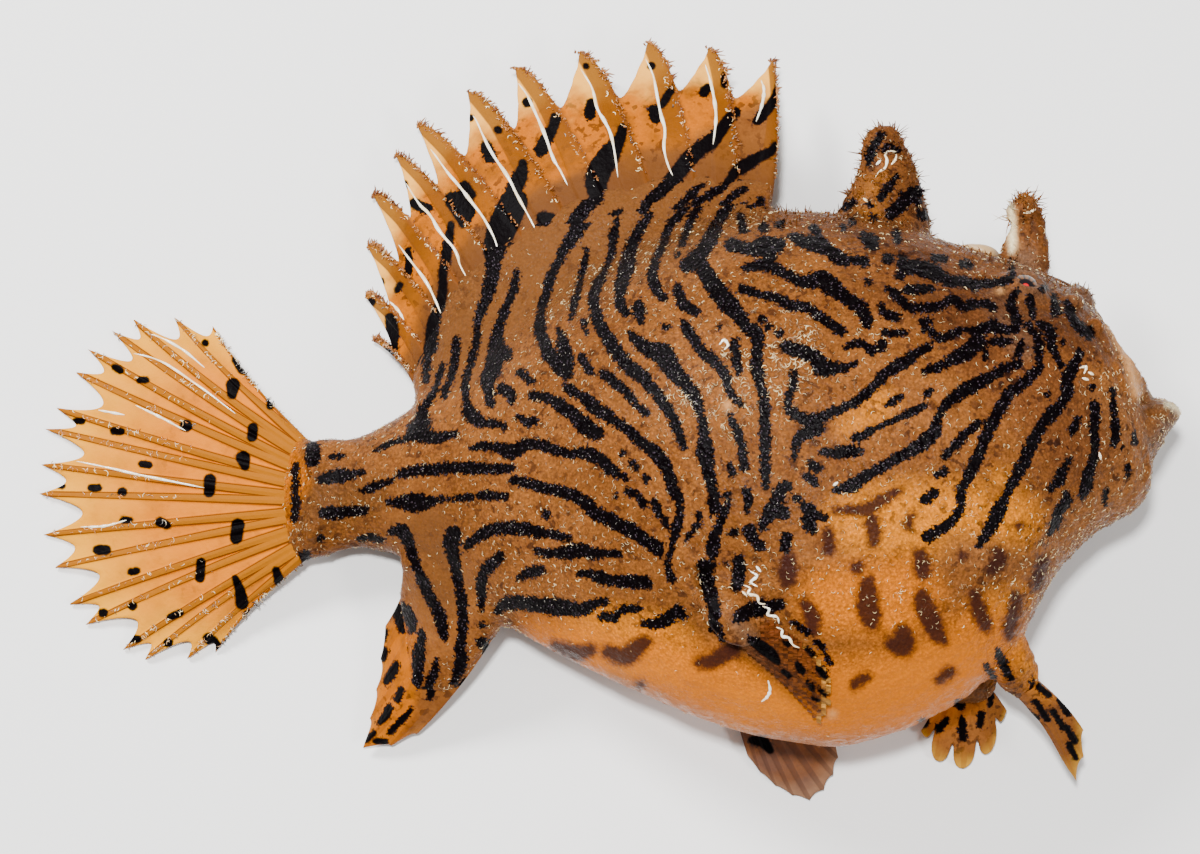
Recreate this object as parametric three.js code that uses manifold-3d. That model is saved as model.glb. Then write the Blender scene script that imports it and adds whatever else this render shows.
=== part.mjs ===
// A striated frogfish lying on its left side, life size. Millimetres, +X to the snout,
// +Y to the back fin, +Z up out of the right flank. The floor is z = 0.
import * as THREE from "three";
import { mergeVertices } from "three/addons/utils/BufferGeometryUtils.js";
import Module from "manifold-3d";

const wasm = await Module();
wasm.setup();

// Driving sizes
const GAP = 0.3; // left between neighbours
const SOFT_EDGE = 0.5; // thinnest membrane
const FLANK_SEGMENTS = 40;
const RIB_SEGMENTS = 44;

// Ribs from the snout to the root of the tail fin. Each joins a point on the back to one on
// the belly; half is the half thickness, mid the height of the midline over the floor, and
// back and keel say how pinched the section is above and below (1 is an ellipse).
const RIBS = [
  { top: [67.6, -4.6], low: [67.6, -4.6], half: 0, mid: 18.6, back: 1, keel: 1 },
  { top: [66.0, 1.0], low: [67.6, -8.6], half: 7.0, mid: 18.8, back: 0.95, keel: 0.95 },
  { top: [64.2, 7.2], low: [65.6, -12.3], half: 11.2, mid: 19.1, back: 0.9, keel: 0.9 },
  { top: [60.6, 12.8], low: [61.2, -15.0], half: 14.6, mid: 19.3, back: 0.85, keel: 0.9 },
  { top: [54.4, 17.2], low: [55.6, -20.4], half: 17.4, mid: 19.5, back: 0.85, keel: 0.95 },
  { top: [45.6, 20.2], low: [51.4, -28.2], half: 19.6, mid: 19.6, back: 0.88, keel: 0.95 },
  { top: [36.0, 23.4], low: [43.4, -36.0], half: 21.4, mid: 19.6, back: 0.92, keel: 0.9 },
  { top: [25.6, 25.2], low: [29.8, -41.0], half: 22.2, mid: 19.6, back: 1.05, keel: 0.85 },
  { top: [14.6, 24.2], low: [16.2, -38.9], half: 21.2, mid: 19.4, back: 1.2, keel: 0.85 },
  { top: [3.6, 20.6], low: [4.2, -34.2], half: 18.4, mid: 18.2, back: 1.25, keel: 0.9 },
  { top: [-6.8, 15.0], low: [-6.0, -29.2], half: 14.2, mid: 15.6, back: 1.25, keel: 1.0 },
  { top: [-16.2, 8.0], low: [-15.4, -24.0], half: 10.2, mid: 12.4, back: 1.2, keel: 1.1 },
  { top: [-24.2, 1.4], low: [-23.6, -18.2], half: 7.2, mid: 9.6, back: 1.1, keel: 1.1 },
  { top: [-31.0, -2.0], low: [-31.0, -16.0], half: 5.0, mid: 7.6, back: 1, keel: 1 },
  { top: [-36.6, -2.3], low: [-36.6, -17.4], half: 3.8, mid: 6.4, back: 1, keel: 1 },
  { top: [-38.8, -6.0], low: [-38.8, -14.0], half: 2.2, mid: 6.0, back: 1, keel: 1 },
  { top: [-39.4, -10.0], low: [-39.4, -10.0], half: 0, mid: 6.0, back: 1, keel: 1 },
];
const HEAD_CUT_X = 24; // behind the third spine and the gill region
const STALK_CUT_X = -25.5; // root of the tail stalk

// Head
const EYE_RADIUS = 2.5;
const EYE_AT = [51.3, 14.6];
const EYE_SUNK = 1.5; // from the surface down to the ball's centre
const LID_TUBE = 0.75;
const NOSTRILS = [
  { at: [57.4, 12.4], radius: 0.95, tall: 1.2 },
  { at: [60.0, 9.6], radius: 0.8, tall: 1.0 },
];
const SNOUT = { at: [58.9, 13.9, 19.8], size: [2.4, 2.0, 5.2], turn: -0.5 };
const MOUTH = { at: [65.2, 6.9], facing: 0.715, deep: 7.6, tall: 5.2, wide: 7.4 };
const LIP = { at: [64.3, 7.4], tall: 6.0, wide: 8.4, tube: 1.2, side: 15, bulge: 22 };
const JAW = {
  path: [[59.5, -8.2], [64.6, -3.9], [68.9, -0.7], [72.2, 0.3]],
  deep: [4.6, 4.2, 2.8, 2.1],
  wide: [10.5, 9.6, 8.0, 5.0],
  part: [[61.6, -3.4], [66.4, 2.2], [80, 5.5], [80, -24], [60.4, -24]],
};
const GILL = { at: [12.4, -21.6], size: [1.1, 2.1, 1.6], turn: 0.3 }; // the small round gill opening

// Free spines on the head, as centre line, half width fore and aft and half width across
const SPINE_2 = {
  path: [[54.6, 15.4], [54.5, 19.4], [54.2, 23.3], [53.5, 25.6], [52.6, 27.0]],
  fore: [2.6, 2.0, 1.65, 1.35, 0.9],
  across: [2.3, 1.7, 1.4, 1.1, 0.8],
};
const CROWN = { at: [52.5, 25.3, 19.5], size: [1.9, 1.6, 1.5], turn: 0.4 };
const SPINE_3 = {
  path: [[36.0, 17.6], [35.8, 23.2], [35.7, 27.8], [35.9, 31.5], [35.6, 34.0], [35.2, 35.7]],
  fore: [7.4, 6.3, 4.5, 3.4, 2.6, 1.6],
  across: [4.4, 3.8, 2.9, 2.2, 1.8, 1.2],
};
const CIRRUS = { long: 1.5, thick: 0.4 };
const LURE = {
  rod: [[59.6, 14.8, 21.6], [57.4, 16.3, 23.0], [54.4, 17.6, 23.7], [51.6, 18.6, 22.8], [49.4, 19.4, 21.4]],
  thick: 0.38,
  bait: [
    [[49.8, 19.3, 21.4], [48.2, 19.9, 20.8], [46.4, 20.5, 20.0], [44.8, 21.0, 19.4]],
    [[49.6, 19.2, 21.6], [48.4, 19.5, 22.6], [46.8, 20.0, 23.2], [45.6, 20.4, 23.2]],
  ],
  lobe: 0.8,
};

// Back fin: twelve soft rays. Each tip is [x, y, z]; each root is its x on the back.
const BACK_FIN = {
  rootX: [19.6, 15.8, 12.0, 8.2, 4.4, 0.2, -4.2, -8.6, -12.8, -16.4, -19.4, -22.2],
  tips: [
    [22.3, 46.7, 9], [14.2, 48.5, 8], [6.2, 49.4, 7], [-2.6, 48.3, 6],
    [-11.0, 46.6, 5], [-17.2, 43.5, 4.4], [-23.8, 39.2, 3.8], [-26.6, 35.3, 3.4],
    [-29.6, 30.2, 3.0], [-30.2, 23.4, 2.8], [-30.4, 16.8, 2.8], [-29.3, 10.9, 3.2],
  ],
  sunk: 0.22, bow: 2.6, sag: 0.12, root: 4.6, edge: 0.62, ridge: 0.85,
};

// Tail fin: nine rays, each forked into a pair of tips, from the upper edge to the lower
const TAIL_FIN = {
  rootX: -36.2, rootTop: -3.6, rootLow: -16.4, rootZ: 6.3,
  tips: [
    [-50.6, 13.2], [-55.7, 14.4], [-61.1, 14.2], [-63.8, 12.6], [-66.9, 10.2], [-68.6, 7.2],
    [-71.0, 2.5], [-72.3, -0.3], [-72.9, -4.9], [-73.1, -8.8], [-72.3, -14.1], [-70.9, -18.4],
    [-69.0, -23.2], [-66.7, -25.8], [-61.8, -29.0], [-59.0, -30.4], [-53.5, -30.2], [-49.8, -29.3],
  ],
  pairGap: 0.5, bow: 1.6, root: 5.0, edge: 0.6, ridge: 0.8,
};

// Anal fin: seven rays from the belly side back to the tail stalk
const ANAL_FIN = {
  roots: [[-11.6, -24.6], [-14.0, -23.4], [-16.2, -22.0], [-18.4, -20.6], [-20.6, -19.2], [-22.6, -17.8], [-24.0, -16.6]],
  tips: [
    [-23.6, -39.8, 2.4], [-26.9, -41.3, 1.8], [-30.5, -41.6, 1.4], [-29.6, -37.9, 1.4],
    [-28.8, -34.2, 1.6], [-28.2, -30.2, 2.0], [-27.6, -26.0, 3.0],
  ],
  sunk: 0.2, bow: 1.6, sag: 0.05, root: 4.6, edge: 0.62, ridge: 0.8,
};

// Limb-like side fins: an arm, then a blade of rays that fan from the wrist
const PECTORAL_RIGHT = {
  onFlank: true,
  arm: [[12.4, -22.0, -2.2], [14.6, -24.0, 1.4], [17.2, -25.9, 2.4], [19.4, -27.4, 1.9]],
  wide: [2.8, 2.9, 2.7, 2.2], thick: [2.6, 2.0, 1.4, 0.8],
  wrist: [[16.3, -28.2, 1.7], [19.2, -24.6, 1.7]],
  tips: [
    [26.4, -37.5, 1.2], [27.0, -36.3, 1.3], [27.3, -35.0, 1.4], [27.4, -33.7, 1.4], [27.2, -32.5, 1.4],
    [26.7, -31.4, 1.4], [26.0, -30.4, 1.4], [25.1, -29.5, 1.3], [24.0, -28.7, 1.3],
  ],
  notch: 0.95, bow: -0.6, root: 1.4, edge: 0.6, ridge: 0.6,
};
const PECTORAL_LEFT = {
  arm: [[13.8, -25.6, 5.4], [15.6, -29.8, 4.0], [17.8, -34.0, 3.4], [19.6, -37.0, 3.0]],
  wide: [4.0, 3.8, 3.4, 2.4], thick: [2.6, 2.2, 1.7, 0.9],
  wrist: [[16.2, -36.0, 2.8], [22.0, -32.6, 4.4]],
  tips: [
    [19.0, -42.6, 1.6], [20.6, -44.6, 1.2], [22.6, -46.4, 0.9], [24.8, -47.7, 0.7], [27.0, -48.3, 0.6],
    [28.8, -47.0, 0.9], [30.0, -45.0, 1.5], [30.6, -42.8, 2.2], [30.4, -40.4, 3.0],
  ],
  notch: 0.93, bow: 0, root: 1.6, edge: 0.6, ridge: 0.7,
};
const PELVIC_RIGHT = {
  arm: [[46.6, -25.4, 22.0], [49.0, -28.8, 22.2], [51.8, -32.6, 19.4], [54.0, -35.4, 16.4]],
  wide: [4.4, 3.7, 3.2, 2.6], thick: [3.4, 2.6, 1.9, 1.1],
  wrist: [[51.4, -34.4, 17.8], [55.6, -32.6, 18.2]],
  tips: [
    [57.3, -40.6, 11.6], [58.9, -43.4, 9.8], [60.2, -45.6, 8.2], [60.9, -42.6, 9.8], [60.6, -39.2, 12.0],
  ],
  notch: 0.93, bow: -0.8, root: 1.9, edge: 0.65, ridge: 0.8,
};
const PELVIC_LEFT = {
  arm: [[46.4, -28.2, 8.6], [46.8, -31.6, 6.6], [47.0, -34.2, 5.0], [47.0, -36.2, 4.0]],
  wide: [4.4, 4.2, 4.0, 3.4], thick: [3.0, 2.4, 1.8, 1.1],
  wrist: [[43.4, -34.6, 4.2], [50.6, -33.6, 4.6]],
  tips: [
    [41.3, -39.4, 1.8], [43.2, -43.1, 1.1], [46.8, -44.2, 0.9], [50.4, -41.9, 1.2], [52.3, -36.8, 2.2],
  ],
  notch: 0.76, bow: 0, root: 1.8, edge: 0.65, ridge: 0.9,
};

// Colours, from the flank, the belly and the fins
const skin = new THREE.MeshStandardMaterial({ color: 0x9a5a2a, roughness: 0.45, metalness: 0 });
const finSkin = new THREE.MeshStandardMaterial({ color: 0xc98432, roughness: 0.35, metalness: 0 });
const tailSkin = new THREE.MeshStandardMaterial({ color: 0xe0b06a, roughness: 0.3, metalness: 0 });
const palePart = new THREE.MeshStandardMaterial({ color: 0xc9a27c, roughness: 0.4, metalness: 0 });
const eyeball = new THREE.MeshStandardMaterial({ color: 0x3a2a24, roughness: 0.1, metalness: 0 });

const lerp = THREE.MathUtils.lerp;
const vec = (p, z = 0) => new THREE.Vector3(p[0], p[1], p[2] ?? z);

// A closed three.js geometry as a solid
function solid(geometry) {
  const g = geometry.clone();
  g.deleteAttribute("normal");
  g.deleteAttribute("uv");
  const merged = mergeVertices(g, 1e-4);
  const whole = new wasm.Manifold(
    new wasm.Mesh({
      numProp: 3,
      vertProperties: new Float32Array(merged.attributes.position.array),
      triVerts: new Uint32Array(merged.index.array),
    }),
  );
  return whole;
}

// The largest closed surface of a solid, as a named mesh
function piece(name, shape, material) {
  const parts = shape.decompose().sort((a, b) => b.volume() - a.volume());
  const raw = parts[0].getMesh();
  const geometry = new THREE.BufferGeometry();
  const places = new Float32Array(raw.numVert * 3);
  for (let i = 0; i < raw.numVert; i++)
    places.set(raw.vertProperties.subarray(i * raw.numProp, i * raw.numProp + 3), i * 3);
  geometry.setAttribute("position", new THREE.BufferAttribute(places, 3));
  geometry.setIndex(new THREE.BufferAttribute(raw.triVerts, 1));
  geometry.computeVertexNormals();
  const mesh = new THREE.Mesh(geometry, material);
  mesh.name = name;
  return mesh;
}

// The rib at t, from 0 at the snout to 1 at the tail
const ribCurve = (pick) => new THREE.CatmullRomCurve3(RIBS.map(pick), false, "catmullrom", 0.5);
const topLine = ribCurve((r) => vec([...r.top, r.half]));
const lowLine = ribCurve((r) => vec([...r.low, r.mid]));
const pinchLine = ribCurve((r) => vec([r.back, r.keel, 0]));

// A point of the body: t along the ribs, around from 0 at the back through the right flank
function bodyPoint(t, around, grow = 0) {
  const top = topLine.getPoint(t);
  const low = lowLine.getPoint(t);
  const pinch = pinchLine.getPoint(t);
  const up = Math.cos(around);
  const side = Math.sin(around);
  const reach = new THREE.Vector2(top.x - low.x, top.y - low.y).multiplyScalar(0.5);
  const axis = new THREE.Vector2(-reach.y, reach.x);
  if (reach.length() > 1e-6) reach.setLength(reach.length() + grow);
  axis.set((top.x + low.x) / 2, (top.y + low.y) / 2);
  const power = lerp(pinch.y, pinch.x, (up + 1) / 2);
  const thick = (Math.max(top.z, 0) + grow) * Math.sign(side) * Math.abs(side) ** power;
  const z = Math.max(low.z + thick, -grow);
  return new THREE.Vector3(axis.x + reach.x * up, axis.y + reach.y * up, z);
}

// The whole body, a sphere drawn out along the ribs
function bodySolid(grow = 0) {
  const ball = new THREE.SphereGeometry(1, FLANK_SEGMENTS, RIB_SEGMENTS);
  ball.deleteAttribute("normal");
  ball.deleteAttribute("uv");
  const g = mergeVertices(ball, 1e-6);
  const place = g.attributes.position;
  for (let i = 0; i < place.count; i++) {
    const p = vec([place.getX(i), place.getY(i), place.getZ(i)]);
    const t = Math.acos(THREE.MathUtils.clamp(p.y, -1, 1)) / Math.PI;
    const q = bodyPoint(t, Math.atan2(-p.z, p.x), grow);
    const end = t < 1e-4 ? grow : t > 1 - 1e-4 ? -grow : 0;
    place.setXYZ(i, q.x + end, q.y, q.z);
  }
  return solid(g);
}

// The place and outward direction on the right flank over a point of the side view
function flank(x, y) {
  let best = { miss: Infinity };
  for (let a = 0.02; a < 1; a += 0.02)
    for (let b = 0.05; b < Math.PI; b += 0.08) {
      const p = bodyPoint(a, b);
      const miss = Math.hypot(p.x - x, p.y - y);
      if (miss < best.miss) best = { miss, a, b };
    }
  let { a, b } = best;
  const step = 1e-3;
  for (let round = 0; round < 12; round++) {
    const p = bodyPoint(a, b);
    const pa = bodyPoint(a + step, b).sub(p).divideScalar(step);
    const pb = bodyPoint(a, b + step).sub(p).divideScalar(step);
    const det = pa.x * pb.y - pb.x * pa.y;
    if (Math.abs(det) < 1e-9) break;
    const dx = x - p.x;
    const dy = y - p.y;
    a = THREE.MathUtils.clamp(a + (dx * pb.y - dy * pb.x) / det, 0.005, 0.99);
    b = THREE.MathUtils.clamp(b + (dy * pa.x - dx * pa.y) / det, 0.02, Math.PI - 0.02);
  }
  const at = bodyPoint(a, b);
  const along = bodyPoint(a + step, b).sub(at);
  const round = bodyPoint(a, b + step).sub(at);
  const out = along.cross(round).normalize();
  if (out.z < 0) out.negate();
  return { at, out };
}

// A place above the right flank by lift
function onFlank(x, y, lift) {
  const spot = flank(x, y);
  return spot.at.addScaledVector(spot.out, lift);
}

// The same on the left flank, mirrored through the midline's height at that place
function mirrored(spot) {
  const low = lowLine.getPoint(ribAt(spot.at.x)).z;
  const at = spot.at.clone();
  at.z = 2 * low - at.z;
  return { at, out: new THREE.Vector3(spot.out.x, spot.out.y, -spot.out.z) };
}

// The rib parameter whose top stands at x
function ribAt(x) {
  let low = 0;
  let high = 1;
  for (let round = 0; round < 40; round++) {
    const half = (low + high) / 2;
    if (topLine.getPoint(half).x > x) low = half;
    else high = half;
  }
  return low;
}

// A tapering limb along a path, flat ends rounded over. wide lies in the path's own plane
// across the flat direction, thick is along flat.
function limb(path, wide, thick, radial = 12, steps = 10, flat = new THREE.Vector3(0, 0, 1)) {
  const line = new THREE.CatmullRomCurve3(path);
  const sizes = new THREE.CatmullRomCurve3(path.map((_, i) => vec([wide[i], thick[i], 0])));
  const ball = new THREE.SphereGeometry(1, radial, steps);
  ball.deleteAttribute("normal");
  ball.deleteAttribute("uv");
  const g = mergeVertices(ball, 1e-6);
  const place = g.attributes.position;
  for (let i = 0; i < place.count; i++) {
    const p = vec([place.getX(i), place.getY(i), place.getZ(i)]);
    const t = Math.acos(THREE.MathUtils.clamp(-p.y, -1, 1)) / Math.PI;
    const ring = Math.hypot(p.x, p.z);
    const round = ring < 1e-6 ? 0 : Math.sin(Math.PI * t) ** 0.4 / ring;
    const along = line.getTangent(t);
    const across = new THREE.Vector3().crossVectors(flat, along).normalize();
    const up = new THREE.Vector3().crossVectors(along, across).normalize();
    const size = sizes.getPoint(t);
    const q = line.getPoint(t)
      .addScaledVector(across, p.x * round * size.x)
      .addScaledVector(up, -p.z * round * size.y);
    place.setXYZ(i, q.x, q.y, q.z);
  }
  return solid(g);
}

// A membrane stretched between rays, one closed sheet with each ray raised on both faces.
// ray(i, v) runs from the root at v = 0 to the tip at v = 1; web(i, f) is how far out the
// membrane reaches a share f of the way from ray i to the next.
function finSheet({ count, ray, web, rows, shares, root, edge, ridge, rayWide, start = 0 }) {
  const columns = [];
  for (let i = 0; i < count - 1; i++)
    for (const f of shares) columns.push([i, f]);
  columns.push([count - 2, 1]);
  const wide = columns.length;
  const middle = [];
  const depth = [];
  for (let r = 0; r <= rows; r++) {
    const v = start + (1 - start) * (r / rows);
    for (const [i, f] of columns) {
      const reach = v * web(i, f);
      middle.push(ray(i, reach).lerp(ray(i + 1, reach), f));
      const near = Math.min(f, 1 - f);
      const hill = Math.max(0, 1 - near / rayWide);
      const body = lerp(root, edge, Math.min(1, Math.max(v, 0) / 0.55) ** 0.7);
      depth.push(body + ridge * hill * (1 - 0.55 * Math.max(v, 0)));
    }
  }
  const at = (r, c) => middle[THREE.MathUtils.clamp(r, 0, rows) * wide + THREE.MathUtils.clamp(c, 0, wide - 1)];
  const faces = [[], []];
  for (let r = 0; r <= rows; r++)
    for (let c = 0; c < wide; c++) {
      const out = at(r + 1, c).clone().sub(at(r - 1, c));
      out.cross(at(r, c + 1).clone().sub(at(r, c - 1))).normalize();
      if (out.z < 0) out.negate();
      const half = depth[r * wide + c] / 2;
      faces[0].push(at(r, c).clone().addScaledVector(out, half));
      faces[1].push(at(r, c).clone().addScaledVector(out, -half));
    }
  return sheetSolid(faces, rows, wide);
}

// Closes two grids of points, alike in their triangles, into one solid that stays over the floor
function sheetSolid([over, under], rows, wide) {
  const points = [...over, ...under];
  const flatIndex = new THREE.PlaneGeometry(1, 1, wide - 1, rows).index.array;
  const shift = over.length;
  const tris = [];
  for (let i = 0; i < flatIndex.length; i += 3) {
    const [a, b, c] = flatIndex.slice(i, i + 3);
    tris.push(a, b, c, a + shift, c + shift, b + shift);
  }
  const rim = [];
  for (let c = 0; c < wide; c++) rim.push(c);
  for (let r = 1; r <= rows; r++) rim.push(r * wide + wide - 1);
  for (let c = wide - 2; c >= 0; c--) rim.push(rows * wide + c);
  for (let r = rows - 1; r > 0; r--) rim.push(r * wide);
  rim.forEach((a, i) => {
    const b = rim[(i + 1) % rim.length];
    tris.push(a, b, b + shift, a, b + shift, a + shift);
  });
  const g = new THREE.BufferGeometry();
  const places = new Float32Array(points.length * 3);
  points.forEach((p, i) => places.set([p.x, p.y, Math.max(p.z, i >= shift ? 0 : SOFT_EDGE)], i * 3));
  g.setAttribute("position", new THREE.BufferAttribute(places, 3));
  g.setIndex(tris);
  const made = solid(g);
  if (made.volume() > 0) return made;
  for (let i = 0; i < tris.length; i += 3) [tris[i + 1], tris[i + 2]] = [tris[i + 2], tris[i + 1]];
  g.setIndex(tris);
  return solid(g);
}

// A ray bowed sideways and sagging between its root and its tip
function bowedRay(root, tip, bow, sag) {
  const chord = tip.clone().sub(root);
  const sideways = new THREE.Vector3(chord.y, -chord.x, 0).normalize();
  const control = root.clone().lerp(tip, 0.5).addScaledVector(sideways, bow);
  control.z += sag * chord.length();
  const curve = new THREE.QuadraticBezierCurve3(root, control, tip);
  return (v) => {
    if (v >= 0) return curve.getPoint(v);
    return root.clone().addScaledVector(curve.getTangent(0), v * chord.length());
  };
}

// Membrane edges: a hooked tooth behind each ray, an even bay between two tips
const hookedWeb = [[0, 1], [0.22, 0.93], [0.72, 0.78], [1, 1]];
const bayWeb = (deep) => [[0, 1], [0.2, lerp(deep, 1, 0.25)], [0.5, deep], [0.8, lerp(deep, 1, 0.25)], [1, 1]];
const edgeOf = (table) => (i, f) => {
  let k = 1;
  while (k < table.length - 1 && f > table[k][0]) k++;
  const [f0, m0] = table[k - 1];
  const [f1, m1] = table[k];
  return lerp(m0, m1, (f - f0) / (f1 - f0));
};

const grownBody = bodySolid(GAP);
const offBody = (shape) => shape.subtract(grownBody);

function backFin() {
  const rays = BACK_FIN.rootX.map((x, i) => {
    const t = ribAt(x);
    const top = topLine.getPoint(t);
    const low = lowLine.getPoint(t);
    const root = new THREE.Vector3(x, lerp(top.y, low.y, BACK_FIN.sunk * 0.5), low.z);
    return bowedRay(root, vec(BACK_FIN.tips[i]), BACK_FIN.bow, BACK_FIN.sag);
  });
  return offBody(finSheet({
    count: rays.length, ray: (i, v) => rays[i](v), web: edgeOf(hookedWeb), rows: 8,
    shares: [0, 0.22, 0.72], root: BACK_FIN.root, edge: BACK_FIN.edge,
    ridge: BACK_FIN.ridge, rayWide: 0.25,
  }));
}

function tailFin() {
  const last = TAIL_FIN.tips.length - 1;
  const rays = TAIL_FIN.tips.map((tip, i) => {
    const pair = Math.floor(i / 2) / ((last - 1) / 2);
    const y = lerp(TAIL_FIN.rootTop, TAIL_FIN.rootLow, pair) - (i % 2 ? 1 : -1) * TAIL_FIN.pairGap / 2;
    const root = new THREE.Vector3(TAIL_FIN.rootX, y, TAIL_FIN.rootZ);
    const spread = lerp(-1, 1, i / last);
    const bow = TAIL_FIN.bow * spread;
    return bowedRay(root, vec([tip[0], tip[1], SOFT_EDGE * 0.8]), bow, 0.02);
  });
  const inPair = edgeOf(bayWeb(0.9));
  const between = edgeOf(bayWeb(0.84));
  return offBody(finSheet({
    count: rays.length, ray: (i, v) => rays[i](v), web: (i, f) => (i % 2 ? between(i, f) : inPair(i, f)),
    rows: 7, shares: [0, 0.5], root: TAIL_FIN.root, edge: TAIL_FIN.edge,
    ridge: TAIL_FIN.ridge, rayWide: 0.5,
  }));
}

function analFin() {
  const rays = ANAL_FIN.roots.map(([x, y], i) => {
    const low = lowLine.getPoint(ribAt(x));
    return bowedRay(new THREE.Vector3(x, y, low.z), vec(ANAL_FIN.tips[i]), -ANAL_FIN.bow, ANAL_FIN.sag);
  });
  return offBody(finSheet({
    count: rays.length, ray: (i, v) => rays[i](v), web: edgeOf(bayWeb(0.9)), rows: 6,
    shares: [0, 0.3, 0.65], root: ANAL_FIN.root, edge: ANAL_FIN.edge,
    ridge: ANAL_FIN.ridge, rayWide: 0.3,
  }));
}

function sideFin(spec) {
  const set = spec.onFlank ? ([x, y, lift]) => onFlank(x, y, lift) : vec;
  const arm = limb(spec.arm.map((p) => set(p)), spec.wide, spec.thick, 10, 8);
  const [near, far] = spec.wrist.map((p) => vec(p));
  const last = spec.tips.length - 1;
  const rays = spec.tips.map((tip, i) => {
    const root = near.clone().lerp(far, lerp(0.1, 0.9, i / last));
    const bowed = bowedRay(root, vec(tip), spec.bow, spec.onFlank ? 0 : 0.03);
    return spec.onFlank ? (v) => onFlank(...bowed(v).toArray()) : bowed;
  });
  const blade = finSheet({
    count: rays.length, ray: (i, v) => rays[i](v), web: edgeOf(bayWeb(spec.notch)), rows: 5,
    shares: [0, 0.5], root: spec.root, edge: spec.edge, ridge: spec.ridge, rayWide: 0.5,
  });
  return offBody(arm.add(blade));
}

function cirrus(root, out, long) {
  const tip = root.clone().addScaledVector(out, long);
  const bend = root.clone().lerp(tip, 0.55).add(new THREE.Vector3(0.25, 0, 0.15));
  return limb([root, bend, tip], [CIRRUS.thick, CIRRUS.thick * 0.8, 0.16], [CIRRUS.thick, CIRRUS.thick * 0.8, 0.16], 4, 3);
}

// A spine with a crown of short cirri on its tip and edges
function crownedSpine(spec, cirri) {
  const path = spec.path.map(([x, y]) => vec([x, y, lowLine.getPoint(ribAt(x)).z]));
  let shape = limb(path, spec.fore, spec.across, 12, 10);
  const line = new THREE.CatmullRomCurve3(path);
  const sizes = new THREE.CatmullRomCurve3(path.map((_, i) => vec([spec.fore[i], spec.across[i], 0])));
  for (const { share, turn, long } of cirri) {
    const centre = line.getPoint(share);
    const size = sizes.getPoint(share);
    const along = line.getTangent(share);
    const across = new THREE.Vector3(0, 0, 1).cross(along).normalize();
    const out = across.multiplyScalar(Math.cos(turn)).add(new THREE.Vector3(0, 0, Math.sin(turn)));
    const reach = size.x * Math.abs(Math.cos(turn)) + size.y * Math.abs(Math.sin(turn));
    const root = centre.clone().addScaledVector(out, reach * 0.55);
    const lean = out.clone().addScaledVector(along, 0.7).normalize();
    shape = shape.add(cirrus(root, lean, reach * 0.45 + long));
  }
  return shape;
}

function secondSpine() {
  const cirri = [];
  for (let i = 0; i < 10; i++)
    cirri.push({ share: 0.68 + 0.3 * ((i * 0.37) % 1), turn: i * 2.4, long: CIRRUS.long * (0.8 + 0.25 * (i % 3)) });
  const web = limb(
    [[52.8, 17.0, 19.5], [51.6, 20.4, 19.5], [52.0, 24.4, 19.5]].map((p) => vec(p)),
    [2.2, 2.0, 1.2], [0.7, 0.5, 0.35], 8, 6,
  );
  return offBody(crownedSpine(SPINE_2, cirri).add(web).add(lump(CROWN)));
}

function thirdSpine() {
  const cirri = [];
  for (let i = 0; i < 8; i++)
    cirri.push({ share: 0.66 + 0.3 * ((i * 0.41) % 1), turn: i * 2.4 + 0.6, long: CIRRUS.long * 0.55 });
  return offBody(crownedSpine(SPINE_3, cirri));
}

// The thin first spine, laid back along the head, with its worm-like bait
function lure() {
  const rod = LURE.rod.map((p) => vec(p));
  let shape = limb(rod, rod.map(() => LURE.thick), rod.map(() => LURE.thick), 5, 10);
  for (const lobe of LURE.bait) {
    const sizes = [0.55, 1, 0.9, 0.4].map((s) => s * LURE.lobe);
    shape = shape.add(limb(lobe.map((p) => vec(p)), sizes, sizes, 6, 6));
  }
  const snoutRoom = lump({ ...SNOUT, size: SNOUT.size.map((s) => s + GAP) });
  return offBody(shape).subtract(snoutRoom);
}

// A short open tube set on the skin
function nostril({ at, out }, { radius, tall }) {
  const profile = [[0, -1.2], [radius * 1.3, -1.2], [radius * 0.85, tall], [radius * 0.5, tall], [radius * 0.4, 0.1], [0, 0.1]];
  const g = new THREE.LatheGeometry(profile.map(([r, z]) => new THREE.Vector2(r, z)), 7);
  g.applyQuaternion(new THREE.Quaternion().setFromUnitVectors(new THREE.Vector3(0, 1, 0), out));
  g.translate(at.x, at.y, at.z);
  return solid(g);
}

function eyeBall(spot, radius) {
  const g = new THREE.SphereGeometry(radius, 14, 8);
  g.applyQuaternion(new THREE.Quaternion().setFromUnitVectors(new THREE.Vector3(0, 1, 0), spot.out));
  const centre = spot.at.clone().addScaledVector(spot.out, -EYE_SUNK);
  g.translate(centre.x, centre.y, centre.z);
  return solid(g);
}

// The rim of skin round an eye
function lid(spot) {
  const g = new THREE.TorusGeometry(EYE_RADIUS * 0.98, LID_TUBE, 6, 16);
  g.applyQuaternion(new THREE.Quaternion().setFromUnitVectors(new THREE.Vector3(0, 0, 1), spot.out));
  const centre = spot.at.clone().addScaledVector(spot.out, -0.35);
  g.translate(centre.x, centre.y, centre.z);
  return solid(g);
}

// The open mouth, a hollow that faces forward and up
function mouthHollow() {
  const g = new THREE.SphereGeometry(1, 16, 10);
  g.scale(MOUTH.deep, MOUTH.tall, MOUTH.wide);
  g.rotateZ(MOUTH.facing);
  g.translate(MOUTH.at[0], MOUTH.at[1], RIBS[2].mid);
  return solid(g);
}

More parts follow.
